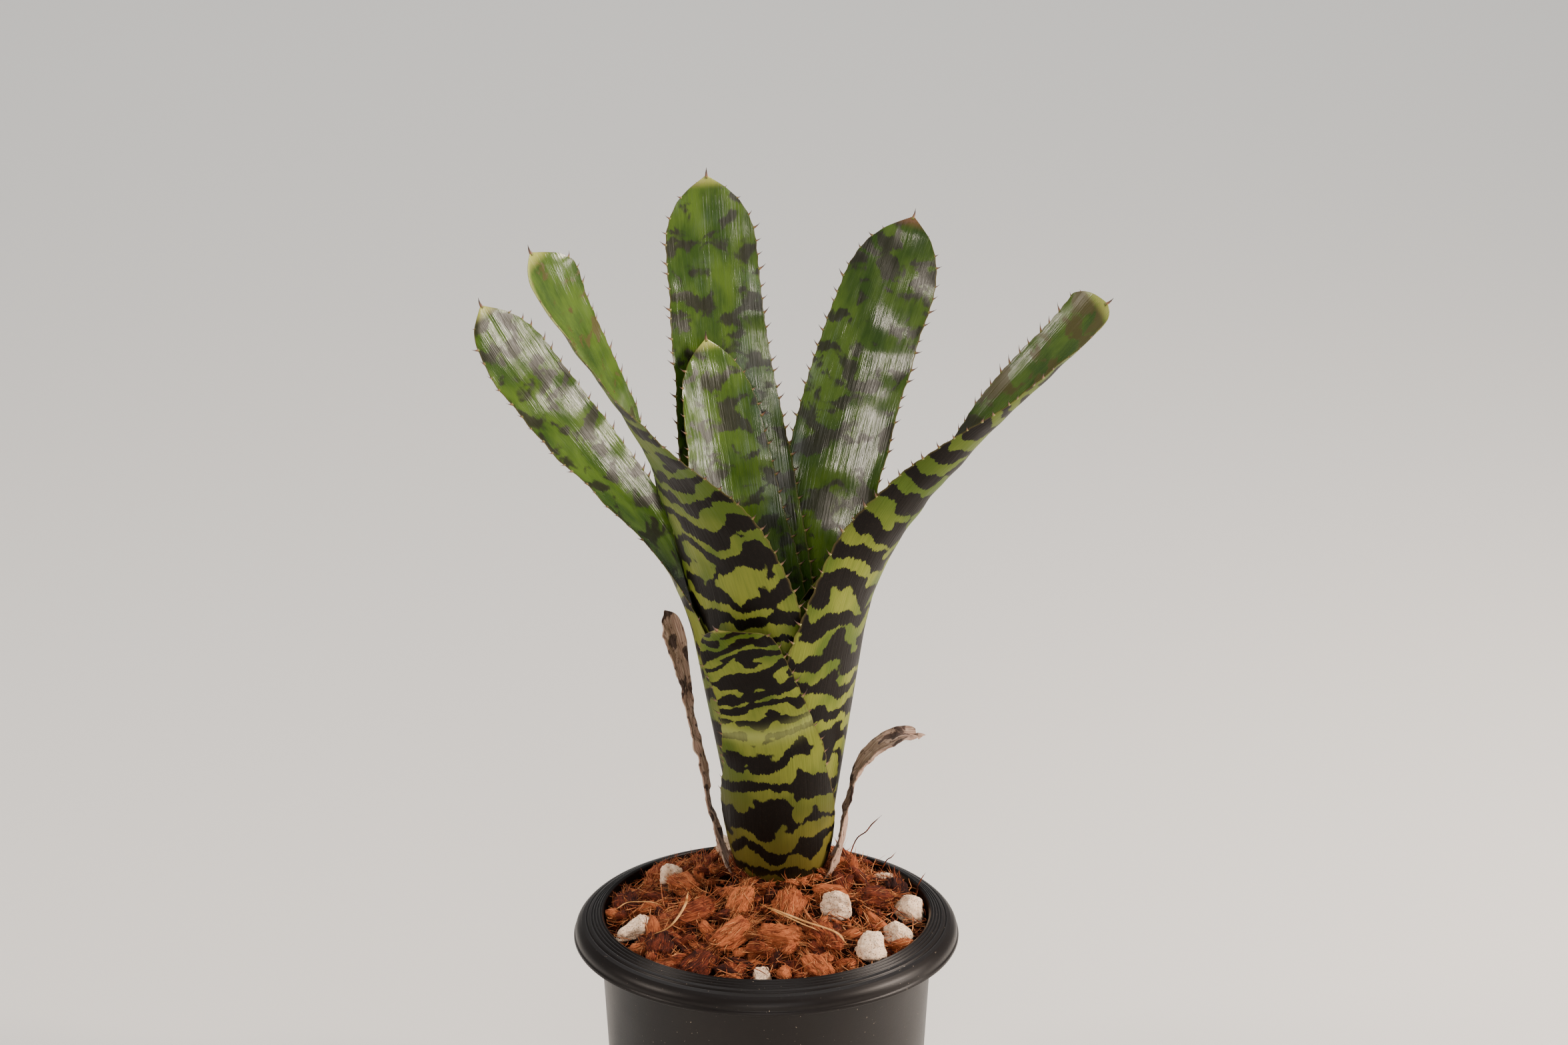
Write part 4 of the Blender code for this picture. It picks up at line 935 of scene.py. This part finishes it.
def laid(local, azimuth, share, yaw, sink=0.0, lowest=None):
    # sets points modelled round the origin down on the medium, the lowest one "sink" below its surface
    at, ahead, beside, rise = lyingFrames(*(np.array(float(value)) for value in (azimuth, share, yaw)))
    height = (0.8 - sink) * mm - (local[:, 2].min() if lowest is None else lowest)
    return (at + rise * height + local[:, :1] * ahead + local[:, 1:2] * beside + local[:, 2:] * rise)


def insidePot(points):
    # draws points that would go through the pot's wall back to half a millimetre inside it
    flat = np.linalg.norm(points[:, :2], axis=1, keepdims=True)
    edge = innerRadius(np.minimum(points[:, 2:], potSize["height"])) - 0.5 * mm
    return np.concatenate([points[:, :2] * np.minimum(1, edge / np.maximum(flat, mm)), points[:, 2:]], axis=1)


stoneLook = dict(cuts=11, cutDepth=(0.66, 0.98), edges=70, limit=1.10, rough=0.15, pits=0.20, full=1.04,
                 seed=40)


def makeStones():
    # each is the space inside some flat cuts, r = softmin(depth / (cut . direction)), roughened by noise
    look = stoneLook
    directions, faces = ballDirections(46, 72)
    for name, (azimuth, share, length, width, height, yaw, sink) in stones.items():
        draw = np.random.default_rng(int(name[-1]) + look["seed"])
        cuts = unit(draw.normal(size=(look["cuts"], 3)))
        reach = draw.uniform(*look["cutDepth"], look["cuts"]) / np.maximum(directions @ cuts.T, 0.02)
        inside = np.exp(-look["edges"] * reach).sum(1) + math.exp(-look["edges"] * look["limit"])
        radius = -np.log(inside) / look["edges"]
        rough = softNoise(directions * 3.1 + azimuth, 51, 5) * look["rough"]
        pit = -look["pits"] * np.clip(softNoise(directions * 7.0 + azimuth, 52, 2) - 0.25, 0, 1)
        size = np.array([length, width, height]) * mm / 2 * look["full"]
        local = directions * (radius + rough + pit)[:, None] * size
        part = turned(dict(points=laid(local, azimuth, share, yaw, sink), faces=faces))
        putPiece(pieceName(name, "Pumice"), [part], [pumice], [name])


def chipShape(directions, length, width, thick, seed, torn):
    # a worn block, |d|^0.7 on each axis, ridged along its fibres and torn at its two ends
    box = np.sign(directions) * np.abs(directions) ** 0.7
    box = box * (1 + 0.28 * softNoise(directions * 1.7 + seed, 61, 3))[:, None]
    local = box * np.array([length, width, thick]) * mm / 2
    fibres = stacked(local[:, 0] / mm * 0.16, local[:, 1] / mm * 1.5, local[:, 2] / mm * 1.5) + seed
    ridge = softNoise(fibres, 62, 3)
    local[:, 1:] *= (1 + 0.26 * torn * ridge)[:, None]
    ragged = softNoise(stacked(0.0, local[:, 1] / mm * 1.7, local[:, 2] / mm * 1.7) + seed, 63, 2)
    atEnds = np.sign(local[:, 0]) * np.clip(np.abs(directions[:, 0]) * 2 - 1, 0, 1)
    local[:, 0] += torn * mm * 1.5 * atEnds * ragged
    bow = 0.10 * (local[:, 0] / mm) ** 2 / length
    local[:, 2] -= bow * mm * (1 if int(seed) % 2 else -0.6)
    return local


def chipCoat(length, width, thick, count, seed, tone, draw):
    # strands on a chip's top and sides, running with its fibres; some lift off towards their free end
    t = np.linspace(0, 1, 5)[None, :]
    reach = draw.uniform(0.25, 0.75, (count, 1)) * length
    begin = draw.uniform(-0.55, 0.45, (count, 1)) * length
    way = np.where(draw.uniform(size=(count, 1)) < 0.5, 1, -1)
    turn = draw.uniform(-0.15, 1.15, (count, 1)) * math.pi + draw.normal(0, 0.45, (count, 1)) * t
    off = 0.02 + draw.exponential(0.8, (count, 1)) * t ** 2
    ends = np.clip(1 - 0.55 * np.abs((begin + way * reach * t) / (0.5 * length)) ** 3, 0.3, 1)
    drift = draw.normal(0, 0.3, (count, 1)) * t
    paths = stacked(begin + way * reach * t, (width * 0.48 * ends + off) * np.cos(turn) + drift,
                    (thick * 0.46 * ends + off) * np.sin(turn)) * mm
    radii = draw.uniform(0.05, 0.15, (count, 1)) * mm * np.array([[0.7, 1, 1, 0.8, 0.25]])
    points, faces, share, owner = tubes(paths, radii, 3, np.tile([0.1, 1.0, 0.3], (count, 1)))
    tones = np.clip(tone * 0.45 + draw.uniform(-0.15, 0.7, count), 0, 1)[owner]
    marks = dict(huskPlace=stacked(share * 8, 0.0, 0.0), huskTone=stacked(tones, owner * 1.7 + seed, 0.0))
    return dict(points=points, faces=faces, marks=marks, finish=1)


chipLook = dict(longer=1.04, wider=1.06, thick=5.8, torn=1.5, strands=210, coatThick=5.4, seed=200)


def makeChips():
    # the large chips, each a torn block under a coat of strands
    look = chipLook
    directions, faces = ballDirections(40, 64)
    turnX = directions[:, [2, 0, 1]]  # the poles lie at the torn ends
    for name, (azimuth, share, length, width, yaw) in chips.items():
        number = int(name[-2:])
        draw = np.random.default_rng(number + look["seed"])
        local = chipShape(turnX, length * look["longer"], width * look["wider"], look["thick"],
                          number * 3.7, look["torn"])
        tone = float(hashed(np.array([number, 3, 7]), 5))
        marks = dict(huskPlace=local / mm, huskTone=np.tile([tone, number * 5.3, 0.0], (len(local), 1)))
        body = turned(dict(points=insidePot(laid(local, azimuth, share, yaw)), faces=faces, marks=marks))
        coat = chipCoat(length, width * 1.02, look["coatThick"], look["strands"], number * 9.1, tone, draw)
        coat["points"] = insidePot(laid(coat["points"], azimuth, share, yaw, 0.0, local[:, 2].min()))
        putPiece(pieceName(name, "Husk"), [body, turned(coat)], [huskSkin, fibreSkin], [name])


# loose chips, crumbs and a collar of chips against the tube: how many, their lengths, how deep they are
# pressed in, and how far they keep off the larger pieces (gap) and off the tube and wall (reach), in mm
looseKinds = dict(fill=dict(count=300, length=(4.5, 9.5), sink=(-1.6, 1.2), gap=3.0, reach=3.2),
                  crumb=dict(count=420, length=(1.4, 3.6), sink=(-0.4, 1.2), gap=1.2, reach=1.4),
                  collar=dict(count=46, length=(3.6, 6.0), sink=(-3.2, -1.4), share=(0.055, 0.10)))
looseLook = dict(torn=1.8, strands=18, coatFrom=3.6, fibres=2400, outermost=0.95, seed=5)


def clearSpots(count, draw, gap, reach):
    # random places on the medium, as many to an area everywhere, that keep off the stones and larger chips
    tries = count * 6
    azimuth = draw.uniform(-180, 180, tries)
    share = np.sqrt(draw.uniform(0.004, looseLook["outermost"] ** 2, tries))
    spots = bedPoint(azimuth, share)
    keep = np.ones(tries, bool)
    larger = [(row, gap) for row in stones.values()] + [(row, gap * 0.2) for row in chips.values()]
    for (a, s, length, width, *_), extra in larger:
        centre = bedPoint(np.array(float(a)), np.array(float(s)))
        keep &= np.linalg.norm(spots - centre, axis=1) > ((length + width) / 4 + extra) * mm
    keep &= np.linalg.norm(spots[:, :2] - plantAxis[:2], axis=1) > tubeRadius(3 * mm) + reach * mm
    keep &= np.linalg.norm(spots[:, :2], axis=1) < potSize["mouth"] - (reach + 1.2) * mm
    pick = np.flatnonzero(keep)[:count]
    return azimuth[pick], share[pick]


def tipped(roll, pitch):
    # a turn about X and then one about Y, in radians
    c, n, d, m = math.cos(roll), math.sin(roll), math.cos(pitch), math.sin(pitch)
    return np.array([[1, 0, 0], [0, c, n], [0, -n, c]]) @ np.array([[d, 0, m], [0, 1, 0], [-m, 0, d]])


def makeLoose():
    # chips that fill the gaps, crumbs, and a collar of chips heaped against the tube
    look = looseLook
    draw = np.random.default_rng(look["seed"])
    directions, faces = ballDirections(5, 8)
    turnX = directions[:, [2, 0, 1]]
    parts, coats = [], []
    spots = {}
    for name in ("fill", "crumb"):
        kind = looseKinds[name]
        spots[name] = clearSpots(kind["count"], draw, kind["gap"], kind["reach"])
    count = looseKinds["collar"]["count"]
    ring = np.linspace(-180, 180, count, endpoint=False) + draw.uniform(-3, 3, count)
    spots["collar"] = ring, draw.uniform(*looseKinds["collar"]["share"], count)
    for name, (azimuths, shares) in spots.items():
        kind = looseKinds[name]
        for a, s in zip(azimuths, shares):
            length = draw.uniform(*kind["length"])
            seed = float(draw.integers(0, 900))
            width, thick = length * draw.uniform(0.34, 0.62), length * draw.uniform(0.22, 0.42)
            local = chipShape(turnX, length, width, thick, seed, look["torn"])
            tone = draw.uniform(0, 1)
            spin = tipped(*draw.uniform(-0.6, 0.6, 2))
            spun = local @ spin
            sink, yaw = draw.uniform(*kind["sink"]), draw.uniform(0, 360)
            if name == "collar":
                yaw = 90 + draw.uniform(-25, 25)
            marks = dict(huskPlace=local / mm, huskTone=np.tile([tone, seed, 0.0], (len(local), 1)))
            points = insidePot(laid(spun, a, s, yaw, sink))
            parts.append(turned(dict(points=points, faces=faces, marks=marks)))
            if length > look["coatFrom"]:
                coat = chipCoat(length, width, thick, look["strands"], seed, tone, draw)
                coat["points"] = insidePot(laid(coat["points"] @ spin, a, s, yaw, sink, spun[:, 2].min()))
                coats.append(turned(dict(coat, finish=0)))
    putPiece("looseHusk", parts, [huskSkin])
    putPiece("looseStrandsCoat", coats, [fibreSkin])


def makeFibres():
    # thin curved strands on and between the chips: p = p0 + l (t d + bend t^2)
    draw = np.random.default_rng(looseLook["seed"] + 1)
    azimuth, share = clearSpots(looseLook["fibres"], draw, 0.0, 1.0)
    count = len(azimuth)
    at, ahead, beside, rise = lyingFrames(azimuth, share, draw.uniform(0, 360, count))
    length = draw.uniform(2.5, 9, count) * mm * draw.uniform(0.5, 1.2, count)
    t = np.linspace(0, 1, 7)
    bend = (draw.normal(0, 0.30, count)[:, None] * beside + draw.normal(0.0, 0.22, count)[:, None] * rise)
    start = at + rise * (draw.uniform(1.0, 5.4, count) * mm)[:, None]
    slope = draw.uniform(-0.1, 0.42, count)[:, None] * rise
    paths = start[:, None] + length[:, None, None] * (t[:, None] * (ahead + slope)[:, None]
                                                      + (t ** 2)[:, None] * bend[:, None])
    flat = np.linalg.norm(paths[..., :2], axis=-1, keepdims=True)
    paths[..., :2] *= np.minimum(1, (potSize["mouth"] - 0.9 * mm) / flat)
    away = paths[..., :2] - plantAxis[:2]
    gap = np.linalg.norm(away, axis=-1, keepdims=True)
    paths[..., :2] = plantAxis[:2] + away * np.maximum(1, (tubeRadius(0.004) + 1.0 * mm) / gap)
    thick = draw.uniform(0.07, 0.20, count)[:, None] * mm * np.array([0.6, 1, 1, 1, 0.9, 0.7, 0.3])
    points, faces, share, owner = tubes(paths, thick, 3, np.tile([0.1, 0.2, 1.0], (count, 1)))
    tone = draw.uniform(0, 1, count)[owner]
    marks = dict(huskPlace=stacked(share * 8, 0.0, 0.0), huskTone=stacked(tone, owner * 1.7, 0.0))
    putPiece("huskFibres", [dict(points=points, faces=faces, marks=marks)], [fibreSkin])


# the longest strands, each a flat ribbon or a hair through its stops, in millimetres
strands = {
    "strawLong": dict(stops=((-2.1, -10.9, 101.5), (12.0, -23.1, 101.0), (19.9, -26.7, 100.0),
                             (24.8, -30.8, 97.5)), width=0.62, flat=0.3),
    "strawSplit": dict(stops=((-1.0, -12.5, 101.9), (10.5, -24.6, 101.3), (16.0, -27.9, 100.2)),
                       width=0.40, flat=0.3),
    "strawLeft": dict(stops=((-47.0, -4.0, 96.0), (-42.1, -2.5, 98.2), (-31.9, -7.3, 99.4)),
                      width=0.30, flat=0.4),
    "strawHook": dict(stops=((-24.6, -3.4, 102.4), (-24.9, -12.7, 101.6), (-28.4, -21.6, 99.4),
                             (-34.5, -22.7, 96.0)), width=0.42, flat=0.4),
    "hairTall": dict(stops=((25.5, 34.0, 95.0), (28.0, 34.0, 102.8), (32.3, 34.0, 107.3),
                            (37.1, 34.0, 112.1)), width=0.26, flat=0.8),
    "hairMid": dict(stops=((35.0, 27.0, 92.5), (38.0, 27.0, 98.5), (41.4, 27.0, 101.9)),
                    width=0.22, flat=0.8),
    "hairLow": dict(stops=((47.0, 17.0, 90.5), (47.6, 17.0, 95.0), (50.2, 17.0, 99.4)),
                    width=0.20, flat=0.8),
}
strandLook = dict(steps=28, sides=8, waver=0.4, strawTone=0.5, hairTone=0.1)


def makeStrands():
    # a smooth curve through the stops, wavering by noise, as a tube that thins towards both ends
    parts = []
    for number, (name, spec) in enumerate(strands.items()):
        straw = name.startswith("straw")
        stops = np.array(spec["stops"]) * mm
        place = np.linspace(0, 1, len(stops))
        t = np.linspace(0, 1, strandLook["steps"])
        path = np.stack([through(t, np.stack([place, stops[:, k]], -1)) for k in range(3)], -1)
        waver = softNoise(stacked(t * 5, float(number), np.arange(3)[:, None]).transpose(1, 0, 2), 91)
        path = path + waver * strandLook["waver"] * mm
        thick = spec["width"] * mm * np.clip(np.sin(np.clip(t, 0.04, 0.97) * math.pi) * 1.8, 0.12, 1)
        points, faces, share, _ = tubes(path[None], thick[None], strandLook["sides"],
                                        np.array([[0.05, 0.1, 1.0]]), spec["flat"])
        tone = strandLook["strawTone" if straw else "hairTone"]
        marks = dict(huskPlace=stacked(share * 30, 0.0, 0.0),
                     huskTone=stacked(tone, number * 3.1, np.zeros(len(points))))
        parts.append(turned(dict(points=points, faces=faces, marks=marks, finish=0 if straw else 1)))
    putPiece("looseStrands", parts, [strawSkin, fibreSkin])


makeBed()
makeStones()
makeChips()
makeLoose()
makeFibres()
makeStrands()
print("medium made")


# floor, lights and camera

studio = dict(floor=(226, 223, 218), floorSize=9.0, world=(0.94, 0.92, 0.89), worldStrength=0.30,
              aim=(0.0, 0.0, 0.19))
softBoxes = {
    "leftBox": dict(place=(-0.95, -0.30, 0.66), size=0.24, power=6, tint=(1.0, 0.86, 0.75)),
    "rightBox": dict(place=(0.95, -0.12, 0.70), size=0.26, power=19, tint=(1.0, 0.85, 0.73)),
    "lowRight": dict(place=(1.0, -0.10, 0.28), size=0.20, power=4, tint=(1.0, 0.88, 0.78)),
    "lowFront": dict(place=(-0.10, -1.50, 0.40), size=0.22, power=4, tint=(1.0, 0.88, 0.78)),
    "frontBox": dict(place=(0.25, -1.6, 0.9), size=0.8, power=5),
    "overhead": dict(place=(0.0, 0.1, 1.5), size=0.9, power=7),
    "floorWash": dict(place=(0.0, 2.4, 2.6), size=2.6, power=70, aim=(0.0, 2.2, 0.0)),
}
lens = dict(place=(0.0055, -1.0046, 0.5486), down=71.96, focal=50.0, sensor=22.3)


def makeFloor():
    half = studio["floorSize"] / 2
    points = np.array([(-half, -half, 0), (half, -half, 0), (half, half, 0), (-half, half, 0)])
    mesh = bpy.data.meshes.new("studioFloor")
    mesh.from_pydata(points.tolist(), [], [(0, 1, 2, 3)])
    floor = bpy.data.objects.new("studioFloor", mesh)
    bpy.context.scene.collection.objects.link(floor)
    finish = Finish("studioFloor", 0.8)
    finish.set(Base_Color=paint(*studio["floor"]))
    mesh.materials.append(finish.material)


def makeLights():
    for name, spec in softBoxes.items():
        light = bpy.data.lights.new(name, "AREA")
        light.shape, light.size, light.energy = "SQUARE", spec["size"], spec["power"]
        light.color = spec.get("tint", (1.0, 1.0, 1.0))
        lamp = bpy.data.objects.new(name, light)
        bpy.context.scene.collection.objects.link(lamp)
        lamp.location = spec["place"]
        ahead = Vector(spec.get("aim", studio["aim"])) - Vector(spec["place"])
        lamp.rotation_euler = ahead.to_track_quat("-Z", "Y").to_euler()
    world = bpy.data.worlds.new("studio")
    bpy.context.scene.world = world
    world.use_nodes = True
    sky = world.node_tree.nodes["Background"]
    sky.inputs[0].default_value = (*studio["world"], 1.0)
    sky.inputs[1].default_value = studio["worldStrength"]


def makeCamera():
    camera = bpy.data.cameras.new("studioCamera")
    camera.lens, camera.sensor_width, camera.sensor_fit = lens["focal"], lens["sensor"], "HORIZONTAL"
    view = bpy.data.objects.new("studioCamera", camera)
    bpy.context.scene.collection.objects.link(view)
    view.location = lens["place"]
    view.rotation_euler = (math.radians(lens["down"]), 0, 0)
    bpy.context.scene.camera = view


makeFloor()
makeLights()
makeCamera()
print("studio made")
